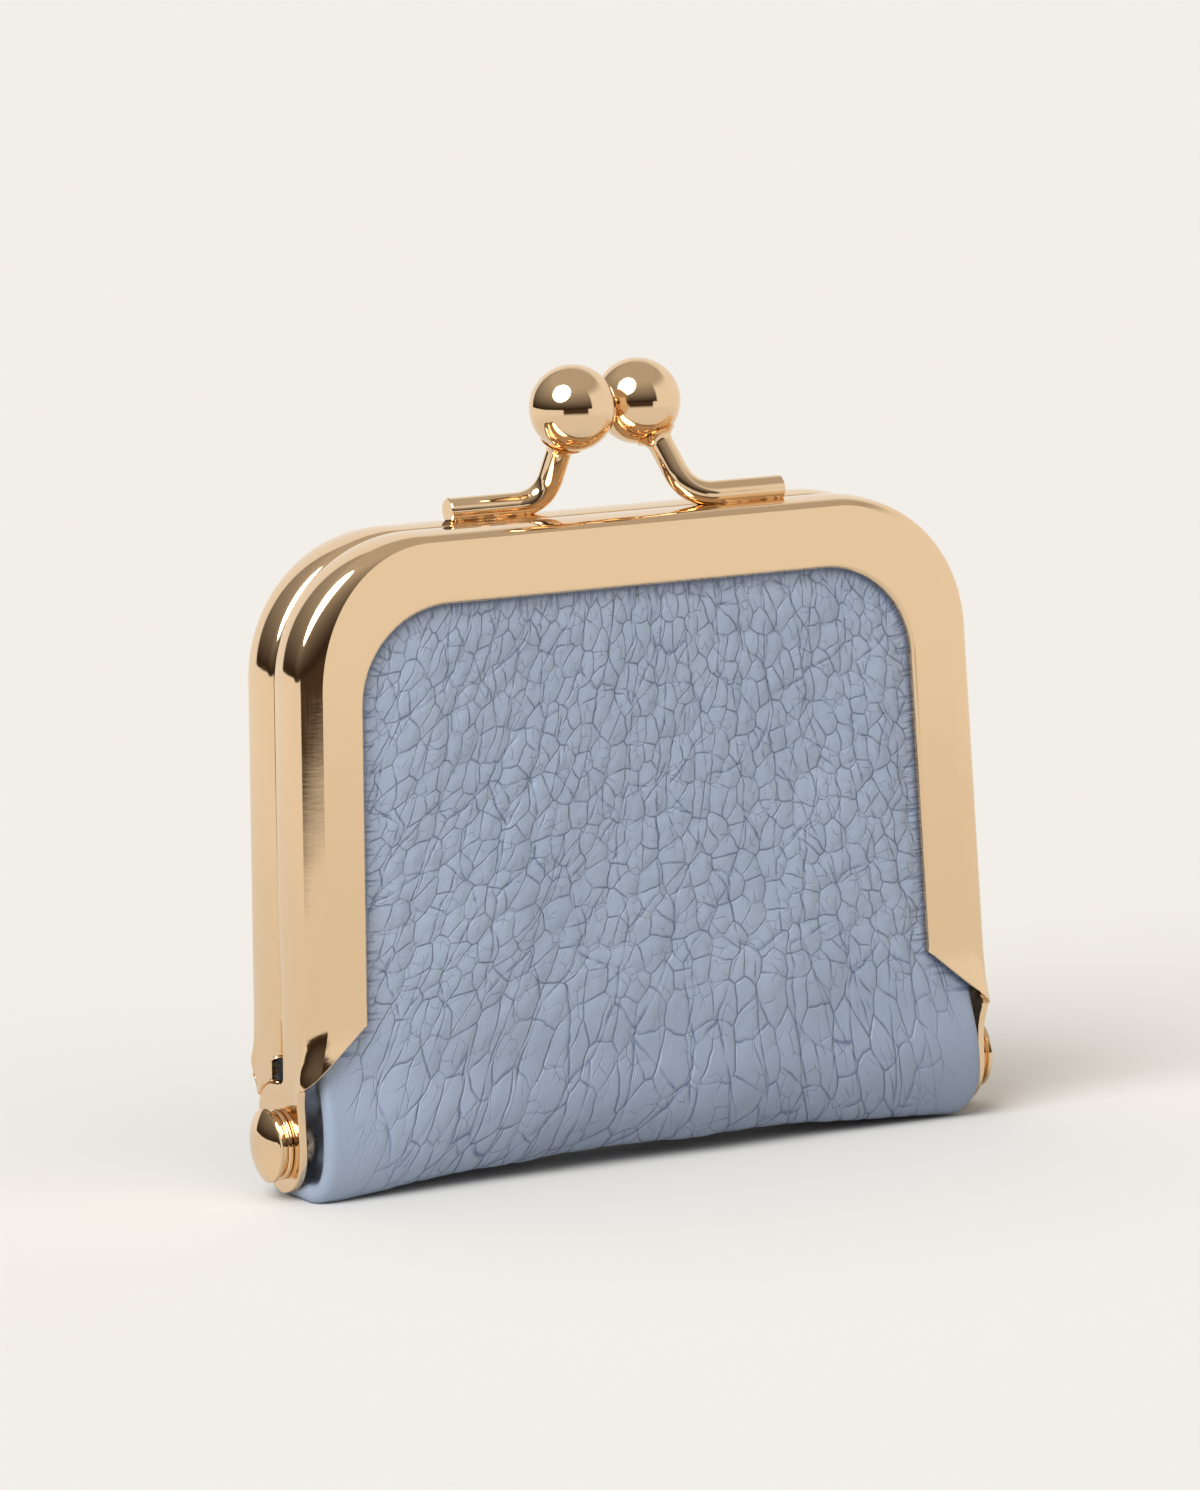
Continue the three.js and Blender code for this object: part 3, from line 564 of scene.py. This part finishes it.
def pebbles(tree, place):
    """Three measures of the grain. Each of three cell patterns, long, main and small, gives a dome that falls by the
    square of the distance from its cell's middle, a groove that falls by the square towards the cell's edge, and a
    narrow line along that edge. A pattern has its stretch, its dome's share and its groove's width, and a patchy
    noise between low and high lets the groove come and go between least and most."""
    slow, fast, patch = [node(tree, "ShaderNodeTexNoise", {"Vector": place, "Scale": scale, "Detail": detail},
                              noise_dimensions="2D") for scale, detail in ((0.7, 0.5), (1.8, 1.0), (1.1, 1.0))]
    bent = place
    for noise, far in ((slow, 0.35), (fast, 0.14)):
        bent = node(tree, "ShaderNodeVectorMath", {0: noise.outputs["Color"], 1: (far, far, 0), 2: bent},
                    operation="MULTIPLY_ADD").outputs[0]
    sums = [0.0, 0.0, 0.0]
    for stretch, swell, groove, low, high, least, most in (((0.55, 0.22, 0), 0.25, 0.07, 0.35, 0.6, 0.2, 0.9),
                                                           ((1.05, 0.8, 0), 1.0, 0.09, 0.65, 0.4, 0.35, 0.9),
                                                           ((1.9, 1.6, 0), 0.5, 0.085, 0.45, 0.65, 0.0, 0.4)):
        cells = node(tree, "ShaderNodeVectorMath", {0: bent, 1: stretch}, operation="MULTIPLY").outputs[0]
        middle, edge = [node(tree, "ShaderNodeTexVoronoi", {"Vector": cells, "Scale": 1.0, "Randomness": 1.0},
                             voronoi_dimensions="2D", feature=kind).outputs["Distance"]
                        for kind in ("F1", "DISTANCE_TO_EDGE")]
        much = node(tree, "ShaderNodeMapRange", {"Value": patch.outputs["Fac"], "From Min": low, "From Max": high,
                                                 "To Min": least, "To Max": most}).outputs[0]
        fall = node(tree, "ShaderNodeMath", {0: middle, 1: 2.0}, operation="POWER").outputs[0]
        side = node(tree, "ShaderNodeMapRange", {"Value": edge, "From Max": groove, "To Min": 1.0, "To Max": 0.0})
        side = node(tree, "ShaderNodeMath", {0: side.outputs[0], 1: 2.0}, operation="POWER").outputs[0]
        line = node(tree, "ShaderNodeMapRange", {"Value": edge, "From Max": 0.3 * groove, "To Min": 1.0, "To Max": 0.0},
                    interpolation_type="SMOOTHSTEP").outputs[0]
        sums = [node(tree, "ShaderNodeMath", {0: value, 1: share, 2: so_far}, operation="MULTIPLY_ADD").outputs[0]
                for value, share, so_far in zip((fall, side, line), (swell, much, much), sums)]
    depth = node(tree, "ShaderNodeSeparateXYZ", {0: place}).outputs["Z"]
    return [node(tree, "ShaderNodeMath", {0: value, 1: depth}, operation="MULTIPLY").outputs[0] for value in sums]


# Dusty blue pebbled cowhide: soft satin finish, darker in the creases, where the dye pools and where shade is painted
# in, and with painted light and shade across the panel. Fine pores between the pebbles are drawn 0.15 mm apart, coarser
# than real.
blue_leather, tree, surface = new_material("dusty_blue_pebbled_cowhide")
place = node(tree, "ShaderNodeAttribute", attribute_name="grain").outputs["Vector"]
_, dip, crease = pebbles(tree, place)
tone = node(tree, "ShaderNodeTexNoise", {"Vector": place, "Scale": 0.25, "Detail": 3.0}, noise_dimensions="2D")
hide = node(tree, "ShaderNodeMix", {0: tone.outputs["Fac"], 6: linear("#8E9DB4"), 7: linear("#99A7BC")},
            data_type="RGBA")
# painted light and shade: the left side is painted paler, above all higher up, as if lit more from the left, and the
# fold is painted darker, as shade where it turns under, less so towards the left side
spot = node(tree, "ShaderNodeSeparateXYZ", {0: node(tree, "ShaderNodeTexCoord").outputs["Object"]}).outputs
painted_left_light = node(tree, "ShaderNodeMapRange", {"Value": spot["X"], "From Min": -0.033, "From Max": -0.012,
                                            "To Min": 0.45, "To Max": 0.0})
upper = node(tree, "ShaderNodeMapRange", {"Value": spot["Z"], "From Min": 0.008, "From Max": 0.024})
painted_left_light = node(tree, "ShaderNodeMath", {0: painted_left_light.outputs[0], 1: upper.outputs[0]}, operation="MULTIPLY")
hide = node(tree, "ShaderNodeMix", {0: painted_left_light.outputs[0], 6: hide.outputs[2], 7: linear("#A7B7CF")},
            data_type="RGBA")
# painted shade: the hide darkens towards the floor below 17 mm, where the fold turns under and faces down
low = node(tree, "ShaderNodeMapRange", {"Value": spot["Z"], "From Min": 0.017, "From Max": 0.004, "To Max": 0.7})
fold_shade_share = node(tree, "ShaderNodeMapRange", {"Value": spot["X"], "From Min": -0.031, "From Max": -0.012,
                                           "To Min": -0.5, "To Max": 1.0})
low = node(tree, "ShaderNodeMath", {0: low.outputs[0], 1: fold_shade_share.outputs[0]}, operation="MULTIPLY")
hide = node(tree, "ShaderNodeMix", {0: low.outputs[0], 6: hide.outputs[2], 7: linear("#788498")}, data_type="RGBA")
# tucks where the hide is drawn under the flange: strokes across the hem, 0.4 mm apart and up to 2 mm long, sunk by the
# bump and darkened by painted shade
hem_at = node(tree, "ShaderNodeAttribute", attribute_name="hem").outputs["Vector"]
hem_at = node(tree, "ShaderNodeSeparateXYZ", {0: hem_at}).outputs
stroke = node(tree, "ShaderNodeTexNoise", {"W": hem_at["X"], "Scale": 2.4, "Detail": 1.0}, noise_dimensions="1D")
stroke = node(tree, "ShaderNodeMapRange", {"Value": stroke.outputs["Fac"], "From Min": 0.5, "From Max": 0.62})
long = node(tree, "ShaderNodeTexNoise", {"W": hem_at["X"], "Scale": 0.9, "Detail": 0.0}, noise_dimensions="1D")
long = node(tree, "ShaderNodeMapRange", {"Value": long.outputs["Fac"], "From Min": 0.3, "From Max": 0.7,
                                         "To Min": 0.4, "To Max": 2.0})
tuck = node(tree, "ShaderNodeMapRange", {"Value": hem_at["Y"], "From Min": long.outputs[0], "From Max": 0.0})
tuck = node(tree, "ShaderNodeMath", {0: tuck.outputs[0], 1: stroke.outputs[0]}, operation="MULTIPLY").outputs[0]
# painted shadow of the flange: a dark band on the leather within 0.5 mm of the flange's edge
edge = node(tree, "ShaderNodeMapRange", {"Value": hem_at["Y"], "From Min": 0.5, "From Max": 0.05}).outputs[0]
tuck_and_edge_shade = node(tree, "ShaderNodeMath", {0: tuck, 1: edge}, operation="MAXIMUM").outputs[0]
# the crease lines are darkened both as dye that pools and as painted shade; the tucks and the flange's edge as painted
# shade only
crease_dye_and_shade = node(tree, "ShaderNodeMath", {0: crease, 1: tuck_and_edge_shade}, operation="MAXIMUM").outputs[0]
crease_dye_and_shade = node(tree, "ShaderNodeMath", {0: crease_dye_and_shade, 1: 0.8}, operation="MULTIPLY", use_clamp=True)
hide_with_shade = node(tree, "ShaderNodeMix", {0: crease_dye_and_shade.outputs[0], 6: hide.outputs[2], 7: linear("#4A5A80")}, data_type="RGBA")
tree.links.new(hide_with_shade.outputs[2], surface.inputs["Base Color"])
pores = node(tree, "ShaderNodeTexNoise", {"Vector": place, "Scale": 11.0, "Detail": 3.0}, noise_dimensions="2D")
satin = node(tree, "ShaderNodeMapRange", {"Value": pores.outputs["Fac"], "From Min": 0.3, "From Max": 0.7,
                                          "To Min": 0.29, "To Max": 0.41})
tree.links.new(satin.outputs[0], surface.inputs["Roughness"])
sunken = node(tree, "ShaderNodeMath", {0: tuck, 1: 0.6, 2: dip}, operation="MULTIPLY_ADD")
raised = node(tree, "ShaderNodeMath", {0: sunken.outputs[0], 1: -1.0, 2: 1.0}, operation="MULTIPLY_ADD")
textured = node(tree, "ShaderNodeMath", {0: pores.outputs["Fac"], 1: 0.16, 2: raised.outputs[0]},
                operation="MULTIPLY_ADD")
bump = node(tree, "ShaderNodeBump", {"Height": textured.outputs[0], "Strength": 1.0, "Distance": 0.00017})
tree.links.new(bump.outputs[0], surface.inputs["Normal"])


def add_measure(piece, name, measure):
    """Gives each vertex of a piece that is one grid its own vector, from a grid in the same order."""
    attribute = piece.data.attributes.new(name, "FLOAT_VECTOR", "POINT")
    attribute.data.foreach_set("vector", measure.astype(np.float32).ravel())


outer_leather = make_piece("outer_leather_sheet", [points[:, ::-1]], blue_leather, closed=False, sharp=180)
add_measure(outer_leather, "grain", grain[:, ::-1])
add_measure(outer_leather, "hem", hem[:, ::-1])

# The sheet sinks between the pebbles by up to 0.4 mm, cell for cell where the finish draws its creases, and by half
# that in the fold, where the hide is stretched.
pebbling = bpy.data.node_groups.new("raised_pebbles", "GeometryNodeTree")
pebbling.interface.new_socket(name="Geometry", in_out="INPUT", socket_type="NodeSocketGeometry")
pebbling.interface.new_socket(name="Geometry", in_out="OUTPUT", socket_type="NodeSocketGeometry")
flat = node(pebbling, "NodeGroupInput").outputs[0]
place = node(pebbling, "GeometryNodeInputNamedAttribute", {"Name": "grain"}, data_type="FLOAT_VECTOR").outputs[0]
height = node(pebbling, "GeometryNodeInputPosition").outputs[0]
height = node(pebbling, "ShaderNodeSeparateXYZ", {0: height}).outputs["Z"]
sink = node(pebbling, "ShaderNodeMapRange", {"Value": height, "From Min": 0.006, "From Max": 0.018,
                                             "To Min": -0.0002, "To Max": -0.00044}).outputs[0]
dent = node(pebbling, "ShaderNodeMath", {0: pebbles(pebbling, place)[0], 1: sink}, operation="MULTIPLY")
inwards = node(pebbling, "ShaderNodeVectorMath", {0: node(pebbling, "GeometryNodeInputNormal").outputs[0],
                                                  "Scale": dent.outputs[0]}, operation="SCALE")
formed = node(pebbling, "GeometryNodeSetPosition", {"Geometry": flat, "Offset": inwards.outputs[0]})
node(pebbling, "NodeGroupOutput", {0: formed.outputs[0]})
outer_leather.modifiers.new("raised_pebbles", "NODES").node_group = pebbling
pebbled = bpy.data.meshes.new_from_object(outer_leather.evaluated_get(bpy.context.evaluated_depsgraph_get()))
outer_leather.modifiers.clear()
outer_leather.data = pebbled
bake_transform(outer_leather)
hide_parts("front_leather_panel", "base_leather", "back_leather_panel")


# Gussets: folded strips of thin skived leather, glued in to close the two ends between the halves.
# Each is pleated inwards while the pouch is shut, and opens like a bellows.
GUSSET_TOP = 30.0
GUSSET_FOOT = 0.5
GUSSET_END = 31.9
HALF_SPREAD = 5.6

# Skived leather is matt, with a soft nap of flecks 0.25 mm wide, coarser than real.
gusset_leather, tree, surface = new_material("skived_gusset_leather")
surface.inputs["Roughness"].default_value = 0.6
where = node(tree, "ShaderNodeTexCoord").outputs["Object"]
nap = node(tree, "ShaderNodeTexNoise", {"Vector": where, "Scale": 4000.0, "Detail": 3.0})
shade = node(tree, "ShaderNodeMix", {0: nap.outputs["Fac"], 6: linear("#8D9BB3"), 7: linear("#A1AEC5")},
             data_type="RGBA")
tree.links.new(shade.outputs[2], surface.inputs["Base Color"])
soft = node(tree, "ShaderNodeBump", {"Height": nap.outputs["Fac"], "Strength": 0.4, "Distance": 0.00005})
tree.links.new(soft.outputs[0], surface.inputs["Normal"])


def gusset_grid(side):
    """A strip from front to back, t from -1 to 1, at rising heights: just inside the leather's edges at t = -1 and 1
    and pleated in towards the middle as (1 - |t|) with a rounded fold. It narrows above the hinge, with soft cross
    folds and a wavy foot."""
    t = np.linspace(-1, 1, 61)[None, :]
    z = np.linspace(GUSSET_FOOT, GUSSET_TOP, 130)[:, None]
    spread = HALF_SPREAD - 2.4 * np.clip(1 - z / 3.4, 0, 1) ** 2 - 1.0 * eased(z, 7.5, 10) - 1.9 * eased(z, 13, 17)
    end = GUSSET_END + 0.2 * eased(z, 9, 10.4) - 3.4 * eased(z, 13, 18)
    pleat = 0.8 * eased(z, 2.6, 6) + 3.0 * eased(z, 9, 15) - 2.5 * eased(z, 16, GUSSET_TOP)
    inward = pleat * (1.05 - np.sqrt(t ** 2 + 0.05 ** 2)) ** 1.3
    folds = 0.22 * np.sin(2.1 * z + 1.2 * t) * eased(-z, -13, -8)
    wave = 0.6 * np.sin(1.5 * t) * eased(z, 1, 4) * eased(-z, -8, -4)
    return np.stack([side * (end - inward + folds), spread * t, z + wave], -1)


for name, side in (("left", -1), ("right", 1)):
    grid = gusset_grid(side)[:, ::-side]
    gusset = make_piece(f"{name}_gusset_sheet", [grid], gusset_leather, closed=False, sharp=180)
    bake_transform(gusset)
    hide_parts(f"{name}_gusset")


# Lining: plain-woven cotton pasted over the boards inside both halves and down through the fold.
# Its weave is drawn at 0.35 mm, about twice the real thread spacing, so that it shows.
LINING_Y = 3.1
LINING_TOP = 55.0
LINING_BEND = 12.0
LINING_DROP = 10.0
LINING_CORNER = 11.2
THREAD_SPACING = 0.35

# Dry cotton yarn: matt, with a faint sheen from its fibres, paler where two threads cross.
lining_cloth, tree, surface = new_material("plain_woven_cotton")
surface.inputs["Roughness"].default_value = 0.9
surface.inputs["Sheen Weight"].default_value = 0.15
thread = node(tree, "ShaderNodeAttribute", attribute_name="threads").outputs["Vector"]
# a wave node of scale 1 has a band every tenth of pi
weave = [node(tree, "ShaderNodeTexWave", {"Vector": thread, "Scale": np.pi / 10 / THREAD_SPACING, "Distortion": 0.4},
              bands_direction=way) for way in ("X", "Y")]
woven = node(tree, "ShaderNodeMath", {0: weave[0].outputs["Fac"], 1: weave[1].outputs["Fac"]}, operation="MULTIPLY")
yarn = node(tree, "ShaderNodeMix", {0: woven.outputs[0], 6: linear("#6A7A93"), 7: linear("#8696AE")}, data_type="RGBA")
tree.links.new(yarn.outputs[2], surface.inputs["Base Color"])
cloth = node(tree, "ShaderNodeBump", {"Height": woven.outputs[0], "Strength": 0.5, "Distance": 0.00008})
tree.links.new(cloth.outputs[0], surface.inputs["Normal"])


def lining_grid():
    """A U-shaped strip: down inside the front board, round under the hinge in a full-bellied half ellipse and up
    inside the back. Its upper corners are arcs, and its width is drawn in below the boards to pass between the
    gussets."""
    down = np.linspace(LINING_TOP, LINING_BEND, 60)
    level = np.full(60, LINING_Y)
    turn = np.linspace(0, np.pi, 41)[1:-1]
    y = np.concatenate([-level, -LINING_Y * np.cos(turn) * (1 + 0.55 * np.sin(turn)), level])
    z = np.concatenate([down, LINING_BEND - LINING_DROP * np.sin(turn) ** 0.8, down[::-1]])
    wide = np.minimum(half_width(z) - 1.9, 30.9 + 1.3 * eased(z, 11, 14))
    corner = np.clip(z - 44, 0, LINING_CORNER)
    wide = wide - (LINING_CORNER - np.sqrt(LINING_CORNER ** 2 - corner ** 2))
    x = wide[:, None] * np.linspace(-1, 1, 90)[None, :]
    return np.stack([x, y[:, None] + 0 * x, z[:, None] + 0 * x], -1)


grid = lining_grid()
lining = make_piece("inner_lining_sheet", [grid], lining_cloth, closed=False, sharp=180)
along = distances(grid[:, 45])
add_measure(lining, "threads", np.stack([grid[..., 0], along[:, None] + 0 * grid[..., 0], 0 * grid[..., 0]], -1))
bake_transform(lining)
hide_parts("front_lining", "base_lining", "back_lining")


# Stiffeners: grey board cut to the panels, pasted between leather and lining, so that both sides stay flat.
# Only its cut edge could show, so the matt fibre is a speckle 0.4 mm wide.
grey_board, tree, surface = new_material("uncoated_grey_board")
surface.inputs["Roughness"].default_value = 0.95
where = node(tree, "ShaderNodeTexCoord").outputs["Object"]
fibre = node(tree, "ShaderNodeTexNoise", {"Vector": where, "Scale": 2500.0, "Detail": 4.0})
pulp = node(tree, "ShaderNodeMix", {0: fibre.outputs["Fac"], 6: linear("#A2957E"), 7: linear("#BFB199")},
            data_type="RGBA")
tree.links.new(pulp.outputs[2], surface.inputs["Base Color"])
for name in ("front", "back"):
    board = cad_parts[f"{name}_stiffener"]
    board.data.materials.clear()
    board.data.materials.append(grey_board)


# Channel cords: two-ply twisted paper cord pushed into each channel behind the lining, where it wedges the
# leather, board and lining against the face flange. Kraft paper is matt, with pale flecks 0.7 mm wide.
CORD_INSET = 1.9
CORD_Y = -2.02
CORD_WAIST = 0.52
CORD_LOBE = 0.15
CORD_TURN = 4.0
paper_cord, tree, surface = new_material("twisted_paper")
surface.inputs["Roughness"].default_value = 0.9
where = node(tree, "ShaderNodeTexCoord").outputs["Object"]
pulp = node(tree, "ShaderNodeTexNoise", {"Vector": where, "Scale": 1500.0, "Detail": 3.0})
paper = node(tree, "ShaderNodeMix", {0: pulp.outputs["Fac"], 6: linear("#C8BA9F"), 7: linear("#DDD1B9")},
             data_type="RGBA")
tree.links.new(paper.outputs[2], surface.inputs["Base Color"])


def cord_rings():
    """A cord round the arch inside the outer wall: its section has two lobes, of radius waist + lobe |cos|, which
    make half a turn in every CORD_TURN along it."""
    line = arch_line(np.array([CORD_INSET]))[:, 0]
    line = np.concatenate([line, line[-2::-1] * [-1, 1]])
    line = np.stack([line[:, 0], 0 * line[:, 0] + CORD_Y, line[:, 1]], -1)
    along = distances(line)
    even = np.linspace(0, along[-1], 300)
    line = np.stack([np.interp(even, along, line[:, k]) for k in range(3)], -1)
    ahead = np.gradient(line, axis=0)
    ahead /= np.linalg.norm(ahead, axis=1, keepdims=True)
    normal = np.array([0, 1.0, 0])
    aside = np.cross(normal, ahead)
    turn = np.linspace(0, 2 * np.pi, 17)[None, :]
    size = CORD_WAIST + CORD_LOBE * np.abs(np.cos(turn - np.pi * even[:, None] / CORD_TURN))
    size[[0, -1]] = 0
    turn = turn[..., None]
    return line[:, None] + size[..., None] * (np.cos(turn) * normal + np.sin(turn) * aside[:, None])


for name, turn in (("front", 1), ("back", half_turn)):
    cord = make_piece(f"{name}_channel_cord_twisted", [cord_rings() * turn], paper_cord, sharp=60)
    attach(cord, f"{name}_half")
    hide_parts(f"{name}_channel_cord")


# Table and studio: a pale cream paper sweep, one large soft box to the left and above, weak fills in front and
# overhead, white cards behind and at the right, and an unlit room at the front left, which gives the metal its
# dark edges.
BACKGROUND = linear("#F3EFE9")
SWEEP = 9000

# Matt paper, lit evenly near the pouch. In the metal's reflections only, its far front end is a painted reflection of
# the unlit room, glowing dark brown, and near the pouch it takes 11 % of that colour.
floor_paper, tree, _ = new_material("cream_paper_sweep")
tree.nodes.clear()
where = node(tree, "ShaderNodeTexCoord").outputs["Object"]
apart = node(tree, "ShaderNodeVectorMath", {0: where}, operation="LENGTH").outputs["Value"]
facing = node(tree, "ShaderNodeVectorMath", {0: where}, operation="NORMALIZE").outputs[0]
ahead = node(tree, "ShaderNodeVectorMath", {0: facing, 1: (-0.301, -0.954, 0.0)}, operation="DOT_PRODUCT")
front = node(tree, "ShaderNodeMapRange", {"Value": ahead.outputs["Value"], "From Min": 0.816, "From Max": 0.862},
             interpolation_type="SMOOTHSTEP")
far = node(tree, "ShaderNodeMapRange", {"Value": apart, "From Min": 0.18, "From Max": 0.42},
           interpolation_type="SMOOTHSTEP")
near = node(tree, "ShaderNodeMapRange", {"Value": apart, "From Min": 0.38, "From Max": 0.16, "To Max": 0.11})
unlit = node(tree, "ShaderNodeMath", {0: front.outputs[0], 1: far.outputs[0]}, operation="MULTIPLY")
unlit = node(tree, "ShaderNodeMath", {0: unlit.outputs[0], 1: near.outputs[0]}, operation="MAXIMUM")
in_metal = node(tree, "ShaderNodeLightPath").outputs["Is Glossy Ray"]
mirrored = node(tree, "ShaderNodeMath", {0: unlit.outputs[0], 1: in_metal}, operation="MULTIPLY")
lit = node(tree, "ShaderNodeBsdfDiffuse", {"Color": linear("#DBDDDD")})
# painted reflection: a dark glow that only glossy rays see
room = node(tree, "ShaderNodeEmission", {"Color": linear("#46392C")})
paper = node(tree, "ShaderNodeMixShader", {0: mirrored.outputs[0], 1: lit.outputs[0], 2: room.outputs[0]})
node(tree, "ShaderNodeOutputMaterial", {0: paper.outputs[0]})
grid = np.stack(np.meshgrid(np.linspace(SWEEP, -SWEEP, 9), np.linspace(-SWEEP, SWEEP, 9), [0.0]), -1)[:, :, 0]
floor = make_piece("floor", [grid], floor_paper, closed=False)

studio = bpy.data.worlds.new("studio")
bpy.context.scene.world = studio
studio.use_nodes = True
tree = studio.node_tree
tree.nodes.clear()
toward = node(tree, "ShaderNodeTexCoord").outputs["Generated"]
rays = node(tree, "ShaderNodeLightPath").outputs
up = node(tree, "ShaderNodeSeparateXYZ", {0: toward}).outputs["Z"]
# each card is as high as its top, and lies past each of its slanting edges
right_card = (0.65, (((0.891, 0.454, 0.0), 0.0), ((0.0, -1.0, 0.0), -0.15)))
back_card = (0.755, (((1.0, 1.11, -0.458), 0.606),))
cards = []
for top, edges in (right_card, back_card):
    card = node(tree, "ShaderNodeMapRange", {"Value": up, "From Min": top + 0.12, "From Max": top - 0.2},
                interpolation_type="SMOOTHSTEP")
    for slant, edge in edges:
        side = node(tree, "ShaderNodeVectorMath", {0: toward, 1: slant}, operation="DOT_PRODUCT").outputs["Value"]
        beside = node(tree, "ShaderNodeMapRange", {"Value": side, "From Min": edge - 0.02, "From Max": edge + 0.02})
        card = node(tree, "ShaderNodeMath", {0: beside.outputs[0], 1: card.outputs[0]}, operation="MULTIPLY")
    cards.append(card.outputs[0])
white = node(tree, "ShaderNodeMath", dict(enumerate(cards)), operation="MAXIMUM")
ceiling = node(tree, "ShaderNodeMapRange", {"Value": up, "From Min": 0.05, "From Max": 0.8})
room = node(tree, "ShaderNodeMix", {0: ceiling.outputs[0], 6: linear("#382D24"), 7: linear("#BEB6AC")},
            data_type="RGBA")
around = node(tree, "ShaderNodeMix", {0: white.outputs[0], 6: room.outputs[2], 7: BACKGROUND}, data_type="RGBA")
overhead = node(tree, "ShaderNodeMapRange", {"Value": up, "From Min": 0.0, "From Max": 0.6})
bounce = node(tree, "ShaderNodeMix", {0: overhead.outputs[0], 6: linear("#877B70"), 7: linear("#ABA399")},
              data_type="RGBA")
fill = node(tree, "ShaderNodeMix", {0: rays["Is Glossy Ray"], 6: bounce.outputs[2], 7: around.outputs[2]},
            data_type="RGBA")
sky = node(tree, "ShaderNodeMix", {0: rays["Is Camera Ray"], 6: fill.outputs[2], 7: BACKGROUND}, data_type="RGBA")
light = node(tree, "ShaderNodeBackground", {"Color": sky.outputs[2]})
node(tree, "ShaderNodeOutputWorld", {0: light.outputs[0]})


def stand(right, upward, behind, place):
    """The matrix that puts a lamp or camera in its place, with those three directions as its own x, y and z."""
    return Matrix([*np.stack([right, upward, behind, place], 1).tolist(), [0, 0, 0, 1]])


for name, aim, wide, strength, tint, mirrored in (("soft_box", (-0.653, -0.343, 0.673), 46, 2.7, "#FFFEFE", True),
                                                  ("front_fill", (0.30, -0.75, 0.60), 60, 0.62, "#FFF5EB", False),
                                                  ("top_fill", (-0.10, 0.42, 0.90), 50, 0.62, "#FFF5EB", False)):
    lamp = bpy.data.lights.new(name, "SUN")
    lamp.angle = np.radians(wide)
    lamp.energy = strength
    lamp.color = linear(tint)[:3]
    holder = bpy.data.objects.new(name, lamp)
    bpy.context.scene.collection.objects.link(holder)
    holder.visible_glossy = mirrored
    aim = np.array(aim) / np.linalg.norm(aim)
    across = np.cross([0, 0, 1], aim)
    across /= np.linalg.norm(across)
    holder.matrix_world = stand(across, np.cross(aim, across), aim, aim)


# Camera: at the photograph's height and angle, a little above the pouch and to its left, with a long lens.
# Its three directions and its place are those fitted to the frame's edges.
camera = bpy.data.cameras.new("camera")
camera.lens = 159.609
camera.sensor_width = 36.0
camera.clip_start = 0.01
camera.clip_end = 50.0
viewer = bpy.data.objects.new("camera", camera)
bpy.context.scene.collection.objects.link(viewer)
right = (0.89138419, -0.45161247, -0.03847607)
upward = (0.09587358, 0.10490109, 0.98985050)
behind = (-0.44299264, -0.88602593, 0.13680487)
viewer.matrix_world = stand(right, upward, behind, (-0.26528075, -0.52736377, 0.11881021))
bpy.context.scene.camera = viewer
bpy.context.scene.view_settings.view_transform = "Standard"
